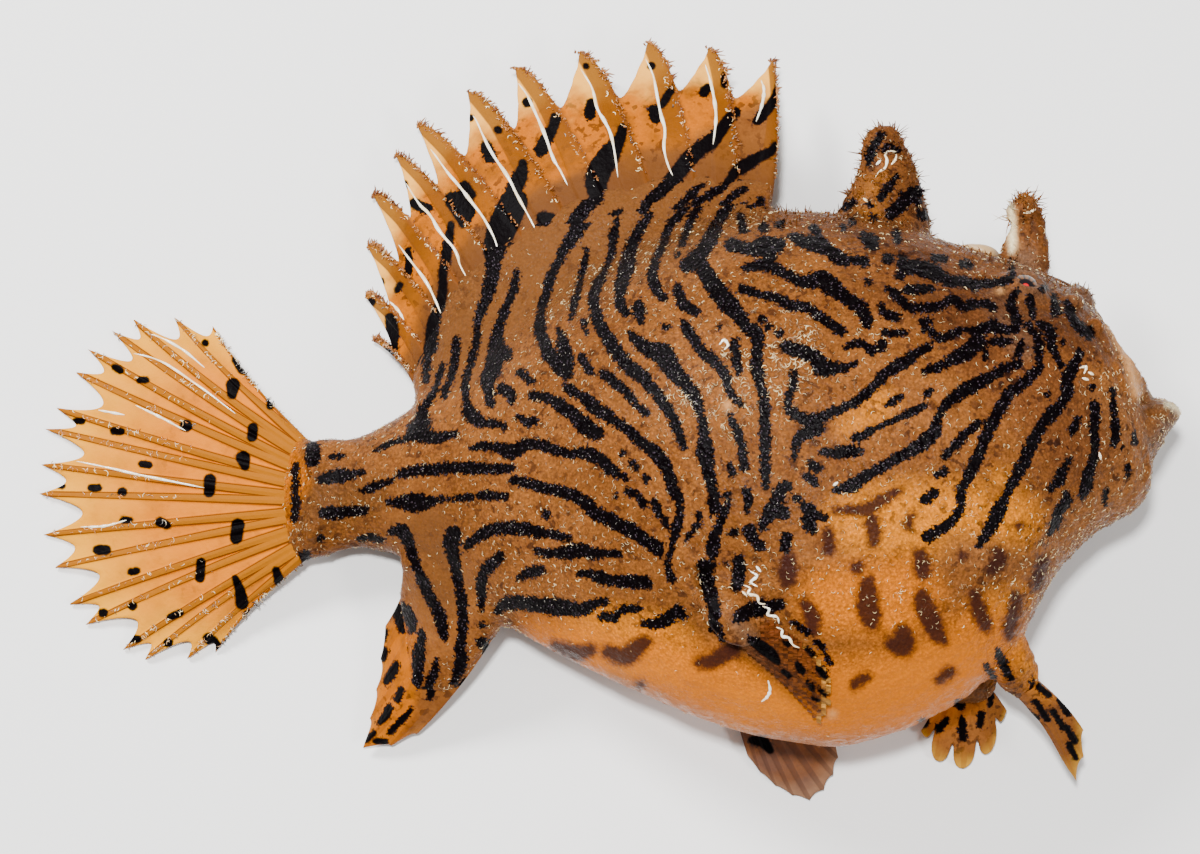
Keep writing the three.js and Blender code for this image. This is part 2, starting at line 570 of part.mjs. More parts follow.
// The lip, a ring round the mouth bent back along the front of the head
function lipRing() {
  const facing = new THREE.Vector3(Math.cos(MOUTH.facing), Math.sin(MOUTH.facing), 0);
  const upward = new THREE.Vector3(-facing.y, facing.x, 0);
  const ring = [];
  const count = 14;
  for (let i = 0; i < count; i++) {
    const turn = (i / count) * 2 * Math.PI;
    const across = LIP.wide * Math.sin(turn);
    const tall = LIP.tall * Math.cos(turn);
    const back = across ** 2 / (2 * LIP.side) + tall ** 2 / LIP.bulge;
    ring.push(new THREE.Vector3(LIP.at[0], LIP.at[1], RIBS[2].mid)
      .addScaledVector(upward, tall)
      .addScaledVector(facing, -back)
      .add(new THREE.Vector3(0, 0, across)));
  }
  const path = new THREE.CatmullRomCurve3(ring, true);
  const tube = new THREE.TorusGeometry(1, 0.5, 6, 22);
  tube.deleteAttribute("normal");
  tube.deleteAttribute("uv");
  const g = mergeVertices(tube, 1e-6);
  const place = g.attributes.position;
  for (let i = 0; i < place.count; i++) {
    const turn = Math.atan2(place.getY(i), place.getX(i));
    const share = (turn / (2 * Math.PI) + 1) % 1;
    const out = Math.hypot(place.getX(i), place.getY(i)) - 1;
    const centre = path.getPoint(share);
    const tangent = path.getTangent(share);
    const outward = new THREE.Vector3().crossVectors(tangent, facing).normalize();
    const forward = new THREE.Vector3().crossVectors(outward, tangent).normalize();
    const q = centre.addScaledVector(outward, out * 2 * LIP.tube).addScaledVector(forward, place.getZ(i) * 2 * LIP.tube);
    place.setXYZ(i, q.x, q.y, q.z);
  }
  const made = solid(g);
  if (made.volume() > 0) return made;
  const turned = g.index.array;
  for (let i = 0; i < turned.length; i += 3) [turned[i + 1], turned[i + 2]] = [turned[i + 2], turned[i + 1]];
  return solid(g);
}

// An ellipsoid, turned in the side view
function lump({ at, size, turn }) {
  const g = new THREE.SphereGeometry(1, 14, 8);
  g.scale(...size);
  g.rotateZ(turn);
  g.translate(...at);
  return solid(g);
}

function jawSolid() {
  const path = JAW.path.map(([x, y]) => new THREE.Vector3(x, y, RIBS[1].mid));
  return limb(path, JAW.deep, JAW.wide, 16, 12);
}

// A straight-sided block over a polygon of the side view, grown outwards by a margin
function region(corners, margin) {
  const centre = corners.reduce((sum, p) => sum.add(vec(p)), new THREE.Vector3()).divideScalar(corners.length);
  const grown = corners.map((p, i) => {
    const back = vec(corners.at(i - 1)).sub(vec(p)).normalize();
    const on = vec(corners[(i + 1) % corners.length]).sub(vec(p)).normalize();
    const inward = back.add(on).normalize();
    if (inward.dot(centre.clone().sub(vec(p))) < 0) inward.negate();
    return vec(p).addScaledVector(inward, -margin * 1.2);
  });
  const shape = new THREE.Shape(grown.map((p) => new THREE.Vector2(p.x, p.y)));
  const g = new THREE.ExtrudeGeometry(shape, { depth: 60, bevelEnabled: false });
  g.translate(0, 0, -8);
  return solid(g);
}

// A block that spans the body between two places along its length
function slab(fromX, toX) {
  const g = new THREE.BoxGeometry(toX - fromX, 140, 80);
  g.translate((fromX + toX) / 2, 0, 30);
  return solid(g);
}

// Assembly
const eyeSpot = flank(...EYE_AT);
const eyeSpots = { right: eyeSpot, left: mirrored(eyeSpot) };
const whole = bodySolid();
const mouth = mouthHollow();

let headWhole = whole.intersect(slab(HEAD_CUT_X + GAP / 2, 90)).add(jawSolid()).add(lump(SNOUT));
for (const spot of Object.values(eyeSpots)) headWhole = headWhole.add(lid(spot));
for (const hole of NOSTRILS) {
  const spot = flank(...hole.at);
  headWhole = headWhole.add(nostril(spot, hole)).add(nostril(mirrored(spot), hole));
}
for (const spot of Object.values(eyeSpots)) headWhole = headWhole.subtract(eyeBall(spot, EYE_RADIUS + GAP));
headWhole = headWhole.add(lipRing()).subtract(mouth);

const fish = new THREE.Group();
fish.add(piece("head", headWhole.subtract(region(JAW.part, GAP)), skin));
fish.add(piece("lower_jaw", headWhole.intersect(region(JAW.part, 0)), palePart));
const gillSpot = flank(...GILL.at).at;
const gill = lump({ ...GILL, at: [gillSpot.x, gillSpot.y, gillSpot.z] });
const trunk = whole.intersect(slab(STALK_CUT_X + GAP / 2, HEAD_CUT_X - GAP / 2));
fish.add(piece("trunk", trunk.subtract(gill), skin));
fish.add(piece("tail_stalk", whole.intersect(slab(-60, STALK_CUT_X - GAP / 2)), skin));
for (const [side, spot] of Object.entries(eyeSpots)) fish.add(piece("eye_" + side, eyeBall(spot, EYE_RADIUS), eyeball));
fish.add(piece("lure_spine", lure(), palePart));
fish.add(piece("second_spine", secondSpine(), skin));
fish.add(piece("third_spine", thirdSpine(), skin));
fish.add(piece("back_fin", backFin(), finSkin));
fish.add(piece("anal_fin", analFin(), finSkin));
fish.add(piece("tail_fin", tailFin(), tailSkin));
fish.add(piece("pectoral_fin_right", sideFin(PECTORAL_RIGHT), finSkin));
fish.add(piece("pectoral_fin_left", sideFin(PECTORAL_LEFT), finSkin));
fish.add(piece("pelvic_fin_right", sideFin(PELVIC_RIGHT), finSkin));
fish.add(piece("pelvic_fin_left", sideFin(PELVIC_LEFT), finSkin));

// The origin is under the middle of the whole fish, on the floor
const box = new THREE.Box3().setFromObject(fish);
const middle = box.getCenter(new THREE.Vector3());
fish.position.set(-middle.x, -middle.y, -box.min.z);

export default fish;
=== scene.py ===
# %% [markdown]
# This lesson builds a striated frogfish that lies on its left side, life size. The solids of
# the part come first, as a fixed frame. Blender then gives them a skin without seams, fine
# fins, spines and eyes, and the colours of the fresh animal. All places are in millimetres of
# the same drawing that the solids come from, and are turned into metres at the last moment.

# %% The frame
import math

import bmesh
import bpy
import numpy as np
from mathutils import Matrix, Vector, noise
from mathutils.bvhtree import BVHTree
from mathutils.kdtree import KDTree


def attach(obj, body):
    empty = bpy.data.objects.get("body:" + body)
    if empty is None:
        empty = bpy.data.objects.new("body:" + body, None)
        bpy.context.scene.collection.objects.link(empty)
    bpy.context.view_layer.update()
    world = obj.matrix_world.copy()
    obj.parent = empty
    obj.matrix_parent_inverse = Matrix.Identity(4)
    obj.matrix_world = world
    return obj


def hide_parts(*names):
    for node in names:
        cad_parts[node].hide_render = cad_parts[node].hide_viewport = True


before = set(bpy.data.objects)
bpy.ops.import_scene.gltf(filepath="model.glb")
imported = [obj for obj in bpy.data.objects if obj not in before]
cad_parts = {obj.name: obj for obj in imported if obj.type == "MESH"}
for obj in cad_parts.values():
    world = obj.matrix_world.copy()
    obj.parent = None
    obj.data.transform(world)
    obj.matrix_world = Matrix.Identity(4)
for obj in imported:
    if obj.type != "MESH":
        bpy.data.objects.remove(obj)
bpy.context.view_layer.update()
print("solids:", len(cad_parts), "nodes")

MM = 0.001
DRAWING_MIDDLE = np.array([-0.496, 0.618, 0.0])  # the drawing's point under the middle of the fish


def metres(points):
    return (np.asarray(points, float) - DRAWING_MIDDLE) * MM


# %% [markdown]
# The camera looks straight down but for a tilt of five degrees, from 40 cm, as the photograph
# does. Its lens makes 7.67 pixels of one millimetre on the floor. The same numbers, as plain
# arithmetic, tell which pixel a point of the fish falls on, so that a stripe that was read in
# the photograph can be laid on the skin that carries it.

# %% Camera
VIEW_DISTANCE = 400.0
VIEW_TILT = math.radians(5)
PIXELS_PER_MM = 7.67
SENSOR_WIDTH = 36
IMAGE = (1200, 854)
CAMERA_AT = np.array([0, -VIEW_DISTANCE * math.sin(VIEW_TILT), VIEW_DISTANCE * math.cos(VIEW_TILT)])
AHEAD = -CAMERA_AT / np.linalg.norm(CAMERA_AT)
UPWARD = np.array([0, math.cos(VIEW_TILT), math.sin(VIEW_TILT)])

camera_data = bpy.data.cameras.new("camera")
camera_data.sensor_width = SENSOR_WIDTH
camera_data.lens = PIXELS_PER_MM * VIEW_DISTANCE * SENSOR_WIDTH / IMAGE[0]
camera = bpy.data.objects.new("camera", camera_data)
camera.location = metres(CAMERA_AT)
camera.rotation_euler = (VIEW_TILT, 0, 0)
bpy.context.collection.objects.link(camera)
bpy.context.scene.camera = camera


def through_pixel(x, y):
    """The direction in which the camera sees a pixel of the photograph."""
    across = np.array([1, 0, 0]) * (x - IMAGE[0] / 2)
    way = AHEAD * PIXELS_PER_MM * VIEW_DISTANCE + UPWARD * (IMAGE[1] / 2 - y) + across
    return way / np.linalg.norm(way)


def pixels(points):
    """Where points of the drawing fall in the photograph, as x and y in pixels."""
    ray = points - CAMERA_AT
    scale = PIXELS_PER_MM * VIEW_DISTANCE / (ray @ AHEAD)
    return np.stack([IMAGE[0] / 2 + ray[:, 0] * scale, IMAGE[1] / 2 - (ray @ UPWARD) * scale], axis=1)


print("camera at", [round(c, 4) for c in camera.location], "lens", round(camera_data.lens, 2))

# %% [markdown]
# A museum table: a plain pale floor, one large soft light from the upper left, a weaker one
# from the right to open the shadows, and a small bright one that puts glints on wet skin.

# %% Floor and light
FLOOR_SIZE = 1.6
ROOM_LIGHT = 0.38


def new_material(name, dials):
    """A material and its shader, with plain values set on the shader's own inputs."""
    material = bpy.data.materials.new(name)
    material.use_nodes = True
    shader = material.node_tree.nodes["Principled BSDF"]
    for label, value in dials.items():
        shader.inputs[label].default_value = value
    return material, shader


def new_object(name, bm, material=None):
    mesh = bpy.data.meshes.new(name)
    bm.to_mesh(mesh)
    bm.free()
    made = bpy.data.objects.new(name, mesh)
    bpy.context.collection.objects.link(made)
    if material:
        mesh.materials.append(material)
    mesh.shade_smooth()
    return made


bm = bmesh.new()
bmesh.ops.create_grid(bm, x_segments=1, y_segments=1, size=FLOOR_SIZE / 2)
floor_paper, _ = new_material("floor_paper", {"Base Color": (0.93, 0.925, 0.91, 1), "Roughness": 0.7})
floor = new_object("floor", bm, floor_paper)


def area_light(name, at, aim, size, watts):
    data = bpy.data.lights.new(name, "AREA")
    data.size = size
    data.energy = watts
    light = bpy.data.objects.new(name, data)
    light.location = at
    light.rotation_euler = (Vector(aim) - Vector(at)).to_track_quat("-Z", "Y").to_euler()
    bpy.context.collection.objects.link(light)


area_light("soft_light", (-0.30, 0.30, 0.42), (0, 0, 0), 0.14, 5.0)
area_light("fill_light", (0.42, -0.2, 0.45), (0, 0, 0), 0.12, 1.4)
area_light("flash", (-0.03, 0.03, 0.55), (0.01, 0, 0), 0.035, 4.4)
world = bpy.data.worlds.new("studio")
world.use_nodes = True
world.node_tree.nodes["Background"].inputs["Color"].default_value = (1, 1, 1, 1)
world.node_tree.nodes["Background"].inputs["Strength"].default_value = ROOM_LIGHT
bpy.context.scene.world = world
print("floor and three lights")

# %% [markdown]
# The body is drawn by seventeen ribs from the snout to the tail. A rib joins a point on the
# back to one on the belly and has a half thickness, a height of its midline over the floor,
# and two powers that say how pinched it is above and below. A sphere whose every point is
# moved to its rib is a closed body at once, which is why a uv sphere is the start.

# %% Ribs
RIBS = [  # top x y, low x y, half thickness, midline height, pinch above and below
    (67.6, -4.6, 67.6, -4.6, 0, 18.6, 1, 1),
    (66.0, 1.0, 67.6, -8.6, 7.0, 18.8, 0.95, 0.95),
    (64.2, 7.2, 65.6, -12.3, 11.2, 19.1, 0.9, 0.9),
    (60.6, 12.8, 61.2, -15.0, 14.6, 19.3, 0.85, 0.9),
    (54.4, 17.2, 55.6, -20.4, 17.4, 19.5, 0.85, 0.95),
    (45.6, 20.2, 51.4, -28.2, 19.6, 19.6, 0.88, 0.95),
    (36.0, 23.4, 43.4, -36.0, 21.4, 19.6, 0.92, 0.9),
    (25.6, 25.2, 29.8, -41.0, 22.2, 19.6, 1.05, 0.85),
    (14.6, 24.2, 16.2, -38.9, 21.2, 19.4, 1.2, 0.85),
    (3.6, 20.6, 4.2, -34.2, 18.4, 18.2, 1.25, 0.9),
    (-6.8, 15.0, -6.0, -29.2, 14.2, 15.6, 1.25, 1.0),
    (-16.2, 8.0, -15.4, -24.0, 10.2, 12.4, 1.2, 1.1),
    (-24.2, 1.4, -23.6, -18.2, 7.2, 9.6, 1.1, 1.1),
    (-31.0, -2.0, -31.0, -16.0, 5.0, 7.6, 1, 1),
    (-36.6, -2.3, -36.6, -17.4, 3.8, 6.4, 1, 1),
    (-38.8, -6.0, -38.8, -14.0, 2.2, 6.0, 1, 1),
    (-39.4, -10.0, -39.4, -10.0, 0, 6.0, 1, 1),
]


def curve(knots, t):
    """A smooth curve through the knots, read at t from 0 to 1."""
    knots = np.asarray(knots, float)
    if knots.ndim == 1:
        knots = knots[:, None]
    t = np.atleast_1d(np.asarray(t, float))
    ends = [2 * knots[0] - knots[1]], [2 * knots[-1] - knots[-2]]
    padded = np.concatenate([ends[0], knots, ends[1]])
    at = np.clip(t, 0, 1) * (len(knots) - 1)
    i = np.minimum(at.astype(int), len(knots) - 2)
    w = (at - i)[:, None]
    before, start, stop, after = padded[i], padded[i + 1], padded[i + 2], padded[i + 3]
    leave, arrive = (stop - before) / 2, (after - start) / 2
    return (
        start + leave * w + (3 * (stop - start) - 2 * leave - arrive) * w**2
        + (2 * (start - stop) + leave + arrive) * w**3
    )


def body_point(t, around, grow=0.0):
    """A point of the body: t along the ribs, around from the back down the right flank."""
    rib = curve(RIBS, t)
    top, low = rib[:, 0:2], rib[:, 2:4]
    half, mid, back, keel = rib[:, 4], rib[:, 5], rib[:, 6], rib[:, 7]
    up, side = np.cos(around), np.sin(around)
    reach = (top - low) / 2
    length = np.linalg.norm(reach, axis=1, keepdims=True)
    reach = reach * (1 + grow / np.maximum(length, 1e-6))
    power = keel + (back - keel) * (up + 1) / 2
    thick = (np.maximum(half, 0) + grow) * np.sign(side) * np.abs(side) ** power
    z = np.maximum(mid + thick, -grow)
    return np.concatenate([(top + low) / 2 + reach * up[:, None], z[:, None]], axis=1)


RIB_STEPS = np.linspace(0, 1, 2000)
TOP_X = curve(RIBS, RIB_STEPS)[:, 0]


def rib_at(x):
    """The rib parameter whose top stands at x."""
    return np.interp(-np.asarray(x, float), -TOP_X, RIB_STEPS)


def places(bm):
    return np.array([v.co[:] for v in bm.verts])


def put(bm, points):
    for vert, point in zip(bm.verts, points):
        vert.co = point


def body_shape():
    bm = bmesh.new()
    bmesh.ops.create_uvsphere(bm, u_segments=150, v_segments=190, radius=1)
    p = places(bm)
    t = np.arccos(np.clip(p[:, 2], -1, 1)) / math.pi
    put(bm, body_point(t, np.arctan2(p[:, 1], p[:, 0])))
    bmesh.ops.recalc_face_normals(bm, faces=bm.faces[:])
    return bm


print("body", round(float(TOP_X.max() - TOP_X.min()), 1), "mm long without its fins")

# %% [markdown]
# Two helpers read the body where other forms stand on it. The first finds the place and the
# outward direction on the right flank over a point of the side view. The second gives the
# same on the left flank, through the height of the midline.

# %% Places on the flank
PARAM_T, PARAM_A = np.meshgrid(np.linspace(0.01, 0.99, 400), np.linspace(0.03, math.pi - 0.03, 260))
FLANK_GRID = body_point(PARAM_T.ravel(), PARAM_A.ravel())
FLANK_TREE = KDTree(len(FLANK_GRID))
for number, spot in enumerate(FLANK_GRID):
    FLANK_TREE.insert((spot[0], spot[1], 0), number)
FLANK_TREE.balance()


def flank(x, y):
    number = FLANK_TREE.find((x, y, 0))[1]
    t, a = np.array([PARAM_T.ravel()[number]]), np.array([PARAM_A.ravel()[number]])
    at = body_point(t, a)[0]
    out = np.cross(body_point(t + 0.004, a)[0] - at, body_point(t, a + 0.01)[0] - at)
    out /= np.linalg.norm(out)
    return at, out if out[2] > 0 else -out


def midline_height(x):
    return curve(RIBS, rib_at(x))[:, 5]


def mirrored(at, out):
    return np.array([at[0], at[1], 2 * midline_height(at[0])[0] - at[2]]), out * [1, 1, -1]


def on_flank(points):
    """Points of a side view with their lift, as places over the right flank."""
    made = []
    for x, y, lift in points:
        at, out = flank(x, y)
        made.append(at + out * lift)
    return np.array(made)


EYE_AT, EYE_RADIUS, EYE_SUNK = (51.3, 14.6), 2.5, 1.5
eye_right = flank(*EYE_AT)
eye_spots = {"right": eye_right, "left": mirrored(*eye_right)}
print("right eye at", np.round(eye_right[0], 1), "facing", np.round(eye_right[1], 2))

# %% [markdown]
# Limbs, lumps and rings are the other plain forms of flesh. A limb is a sphere drawn out along
# a path, wider one way than the other, and it makes the arms of the side fins, the two thick
# spines and the jaw. A lump is an ellipsoid, turned in the side view.

# %% Limbs, lumps and rings
def unit(vectors):
    return vectors / np.maximum(np.linalg.norm(vectors, axis=-1, keepdims=True), 1e-9)


def limb(path, wide, thick, segments=40, rings=56, flat=(0, 0, 1), blunt=0.4):
    bm = bmesh.new()
    bmesh.ops.create_uvsphere(bm, u_segments=segments, v_segments=rings, radius=1)
    p = places(bm)
    t = np.arccos(np.clip(-p[:, 2], -1, 1)) / math.pi
    ring = np.hypot(p[:, 0], p[:, 1])
    spread = np.where(ring < 1e-6, 0, np.sin(math.pi * np.clip(t, 0, 1)) ** blunt / np.maximum(ring, 1e-6))
    along = unit(curve(path, np.clip(t + 0.01, 0, 1)) - curve(path, np.clip(t - 0.01, 0, 1)))
    across = unit(np.cross(np.array(flat, float), along))
    up = unit(np.cross(along, across))
    size = curve(np.stack([wide, thick], axis=1), t)
    wider = across * (p[:, 0] * spread * size[:, 0])[:, None]
    thicker = up * (p[:, 1] * spread * size[:, 1])[:, None]
    put(bm, curve(path, t) + wider + thicker)
    bmesh.ops.recalc_face_normals(bm, faces=bm.faces[:])
    return bm


def turned(points, angle):
    c, s = math.cos(angle), math.sin(angle)
    return points @ np.array([[c, s, 0], [-s, c, 0], [0, 0, 1]])


def lump(at, size, turn=0.0, segments=40):
    bm = bmesh.new()
    bmesh.ops.create_uvsphere(bm, u_segments=segments, v_segments=segments // 2, radius=1)
    put(bm, turned(places(bm) * size, turn) + np.array(at))
    return bm


HOOP = 4  # radius of the plain ring that is spun first


def ring(path, tube, segments, steps, start):
    """A closed ring of a round tube along a closed path of points."""
    bm = bmesh.new()
    bmesh.ops.create_circle(bm, segments=segments, radius=1)
    bmesh.ops.rotate(bm, verts=bm.verts[:], matrix=Matrix.Rotation(math.pi / 2, 3, "X"))
    bmesh.ops.translate(bm, verts=bm.verts[:], vec=(HOOP, 0, 0))
    bmesh.ops.spin(bm, geom=bm.verts[:] + bm.edges[:], angle=2 * math.pi, steps=steps,
                   axis=(0, 0, 1), use_merge=True)
    bmesh.ops.remove_doubles(bm, verts=bm.verts[:], dist=1e-4)
    p = places(bm)
    share = (np.arctan2(p[:, 1], p[:, 0]) / (2 * math.pi)) % 1
    out = np.hypot(p[:, 0], p[:, 1]) - HOOP
    closed = np.concatenate([path[-2:], path, path[:3]])
    t = (share * len(path) + 2) / (len(closed) - 1)
    step = 0.2 / len(closed)
    along = unit(curve(closed, t + step) - curve(closed, t - step))
    side = unit(np.cross(along, np.array(start, float)))
    front = unit(np.cross(side, along))
    put(bm, curve(closed, t) + side * (out * tube)[:, None] + front * (p[:, 2] * tube)[:, None])
    bmesh.ops.recalc_face_normals(bm, faces=bm.faces[:])
    return bm


print("limb, lump and ring ready")

# %% [markdown]
# The fins are sheets stretched between soft rays. Each starts as a flat grid that solidify
# closes to a slab, so that every point knows its share along the fin, its share out from the
# root, and its face. The points then move to a curved sheet whose thickness swells over each
# ray. The same function also makes the thick foot of a fin, which goes into the skin.

# %% Fin sheets
MEMBRANE = 0.5


def rays_of(roots, tips, bow, sag):
    """Roots, controls and tips of rays that bow sideways and sag."""
    roots, tips = np.array(roots, float), np.array(tips, float)
    chord = tips - roots
    sideways = unit(np.stack([chord[:, 1], -chord[:, 0], 0 * chord[:, 0]], axis=1))
    bow = np.broadcast_to(np.asarray(bow, float), (len(roots),))
    controls = (roots + tips) / 2 + sideways * bow[:, None]
    controls[:, 2] += sag * np.linalg.norm(chord, axis=1)
    return roots, controls, tips


def fan_point(fan, c, v):
    """The sheet's middle: c along the fan from the first ray to the last, v out from the root."""
    roots, controls, tips = (curve(part, c) for part in fan)
    v = v[:, None]
    inside = (1 - v) ** 2 * roots + 2 * v * (1 - v) * controls + v**2 * tips
    return np.where(v < 0, roots + (controls - roots) * 2 * v, inside)


def fin_sheet(fan, web, across, outward, root, edge, ridge, ray_wide, wave=0.0, start=0.0, stop=1.0,
              lift=None, settle=0.55, band=None):
    """A closed sheet over a fan of rays. Each point keeps its reach and its share of a ray."""
    count = len(fan[0])
    bm = bmesh.new()
    bmesh.ops.create_grid(bm, x_segments=across, y_segments=outward, size=0.5)
    bmesh.ops.solidify(bm, geom=bm.faces[:], thickness=0.1)
    p = places(bm)
    side = np.where(p[:, 2] > (p[:, 2].min() + p[:, 2].max()) / 2, 1.0, -1.0)
    c = np.clip(p[:, 0] + 0.5, 0, 1)
    share = np.clip(p[:, 1] + 0.5, 0, 1)
    v = start + (stop - start) * share
    at = c * (count - 1)
    i = np.minimum(at.astype(int), count - 2)
    f = at - i
    reach = v * web(i, f)
    centre = fan_point(fan, c, reach)
    tiny = 0.3 / (count - 1)
    beside = fan_point(fan, np.clip(c + tiny, 0, 1), reach) - fan_point(fan, np.clip(c - tiny, 0, 1), reach)
    beyond = fan_point(fan, c, reach + 0.02) - fan_point(fan, c, reach - 0.02)
    normal = unit(np.cross(beyond, beside))
    normal *= np.where(normal[:, 2:3] < 0, -1, 1)
    near = np.minimum(f, 1 - f)
    spacing = np.linalg.norm(
        fan_point(fan, (i + 1) / (count - 1), reach) - fan_point(fan, i / (count - 1), reach), axis=1)
    half_ray = ray_wide * (1 - 0.5 * np.clip(reach, 0, 1))
    if band:
        ahead, behind = band(reach)
        off_ray = np.where(f > 0.5, f - 1, f)
        hill = np.clip((off_ray + ahead) / 0.06, 0, 1) * np.clip((behind - off_ray) / 0.06, 0, 1)
        crust = np.clip(1 - np.abs(off_ray + ahead - 0.03) / 0.10, 0, 1)
    else:
        crust = 0 * f
        hill = np.clip(1.8 - 1.8 * near * spacing / np.maximum(half_ray, 1e-3), 0, 1)
        hill = hill * hill * (3 - 2 * hill)
    body = root + (edge - root) * np.clip(np.maximum(v, 0) / settle, 0, 1) ** 0.7
    thick = body + ridge * hill * (1 - 0.55 * np.clip(v, 0, 1))
    out_length = np.linalg.norm(fan[2] - fan[0], axis=1).mean()
    rim = np.clip((stop - v) * out_length / 0.9, 0, 1)
    ends = np.clip(np.minimum(c, 1 - c) * (count - 1) * np.maximum(spacing, 0.3) / 0.9, 0, 1)
    thick = thick * (0.3 + 0.7 * np.sqrt(rim)) * (0.35 + 0.65 * np.sqrt(ends))
    if lift:
        centre, normal = lift(centre)
    ripple = np.sin(f * math.pi) * np.where(i % 2, 1, -1) * wave * np.clip(reach, 0, 1)
    place = centre + normal * (side * thick / 2 + ripple)[:, None]
    place[:, 2] = np.maximum(place[:, 2], np.where(side > 0, 0.5, 0.02))
    put(bm, place)
    for name, values in (("reach", reach), ("ray", hill), ("crust", crust)):
        layer = bm.verts.layers.float.new(name)
        for vert, value in zip(bm.verts, values):
            vert[layer] = float(value)
    bmesh.ops.recalc_face_normals(bm, faces=bm.faces[:])
    return bm


def edge_from(table):
    """A membrane's edge between two rays, from a table of share and reach."""
    shares, reaches = np.array(table).T
    return lambda i, f: np.interp(f, shares, reaches)


def fingers(slit):
    """Broad round finger tips with a narrow slit between them."""
    return edge_from([(0, 1), (0.16, 0.985), (0.28, 0.95), (0.38, 0.88), (0.46, slit), (0.54, slit),
                      (0.62, 0.88), (0.72, 0.95), (0.84, 0.985), (1, 1)])


def bay(deep):
    f = np.linspace(0, 1, 21)
    return edge_from(np.stack([f, 1 - (1 - deep) * np.sin(math.pi * f) ** 0.8], axis=1))


# %% [markdown]
# Each fin is told by where its rays start and where they end, read from the photograph. The
# web between two rays is cut back in its own way: hooked at the back fin, a plain bay at the
# others. Loops could space the rays evenly, but on the real fish no two stand alike.

# %% Rays of every fin
BACK_ROOT_X = [19.6, 15.8, 12.0, 8.2, 4.4, 0.2, -4.2, -8.6, -12.8, -16.4, -19.4, -22.2]
BACK_TIPS = [
    (22.3, 46.7, 9), (14.2, 48.5, 8), (6.2, 49.4, 7), (-2.6, 48.3, 6), (-11.0, 46.6, 5), (-17.2, 43.5, 4.4),
    (-23.8, 39.2, 3.8), (-26.6, 35.3, 3.4), (-29.6, 30.2, 3.0), (-30.2, 23.4, 2.8), (-30.4, 16.8, 2.8),
    (-29.3, 10.9, 3.2),
]
TAIL_TIPS = [
    (-50.6, 13.2), (-55.7, 14.4), (-61.1, 14.2), (-63.8, 12.6), (-66.9, 10.2), (-68.6, 7.2), (-71.0, 2.5),
    (-72.3, -0.3), (-72.9, -4.9), (-73.1, -8.8), (-72.3, -14.1), (-70.9, -18.4), (-69.0, -23.2),
    (-66.7, -25.8), (-61.8, -29.0), (-59.0, -30.4), (-53.5, -30.2), (-49.8, -29.3),
]
ANAL_ROOTS = [
    (-11.6, -24.6), (-14.0, -23.4), (-16.2, -22.0), (-18.4, -20.6), (-20.6, -19.2), (-22.6, -17.8),
    (-24.0, -16.6),
]
ANAL_TIPS = [
    (-23.6, -39.8, 2.4), (-26.9, -41.3, 1.8), (-30.5, -41.6, 1.4), (-29.6, -37.9, 1.4),
    (-28.8, -34.2, 1.6), (-28.2, -30.2, 2.0), (-27.6, -26.0, 3.0),
]


def back_fan():
    rib = curve(RIBS, rib_at(BACK_ROOT_X))
    y = rib[:, 1] + (rib[:, 3] - rib[:, 1]) * 0.11
    roots = np.stack([BACK_ROOT_X, y, rib[:, 5]], axis=1)
    return rays_of(roots, BACK_TIPS, 2.6, 0.12)


def tail_fan():
    last = len(TAIL_TIPS) - 1
    order = np.arange(last + 1)
    pair = (order // 2) / ((last - 1) / 2)
    y = -3.6 + (-16.4 + 3.6) * pair - np.where(order % 2, 1, -1) * 0.25
    roots = np.stack([0 * y - 36.2, y, 0 * y + 6.3], axis=1)
    tips = np.array([(x, y, 0.4) for x, y in TAIL_TIPS])
    return rays_of(roots, tips, 1.6 * (2 * order / last - 1), 0.02)


def anal_fan():
    roots = np.array([(x, y, curve(RIBS, rib_at(x))[0, 5]) for x, y in ANAL_ROOTS])
    return rays_of(roots, ANAL_TIPS, -1.6, 0.05)


HOOKED_EDGE = edge_from([
    (0, 1), (0.05, 0.98), (0.16, 0.93), (0.3, 0.888), (0.4, 0.852), (0.5, 0.825), (0.6, 0.797), (0.7, 0.776),
    (0.77, 0.768), (0.80, 0.79), (0.82, 0.85), (0.84, 0.91), (0.87, 0.95), (0.92, 0.978), (1, 1)])


def back_band(reach):
    """How far the flat side of a back ray goes ahead of it and behind it, in shares of a bay."""
    behind = np.interp(reach, [0.3, 0.45, 0.6, 0.7, 0.82, 0.95], [0.44, 0.40, 0.28, 0.22, 0.14, 0.13])
    return 0.20, behind


def tail_edge(i, f):
    """The tail's rays stand in pairs, with a deeper bay between two pairs."""
    return np.where(i % 2, bay(0.84)(i, f), bay(0.9)(i, f))


fans = {"back": back_fan(), "tail": tail_fan(), "anal": anal_fan()}
print("fans of", {name: len(fan[0]) for name, fan in fans.items()}, "rays")

# %% [markdown]
# The side fins of a frogfish are limbs, with an arm and a hand of rays. Each is named by the
# path of its arm, its wrist and its tips. The right pectoral lies on the flank, so its points
# are given by their lift over the skin.

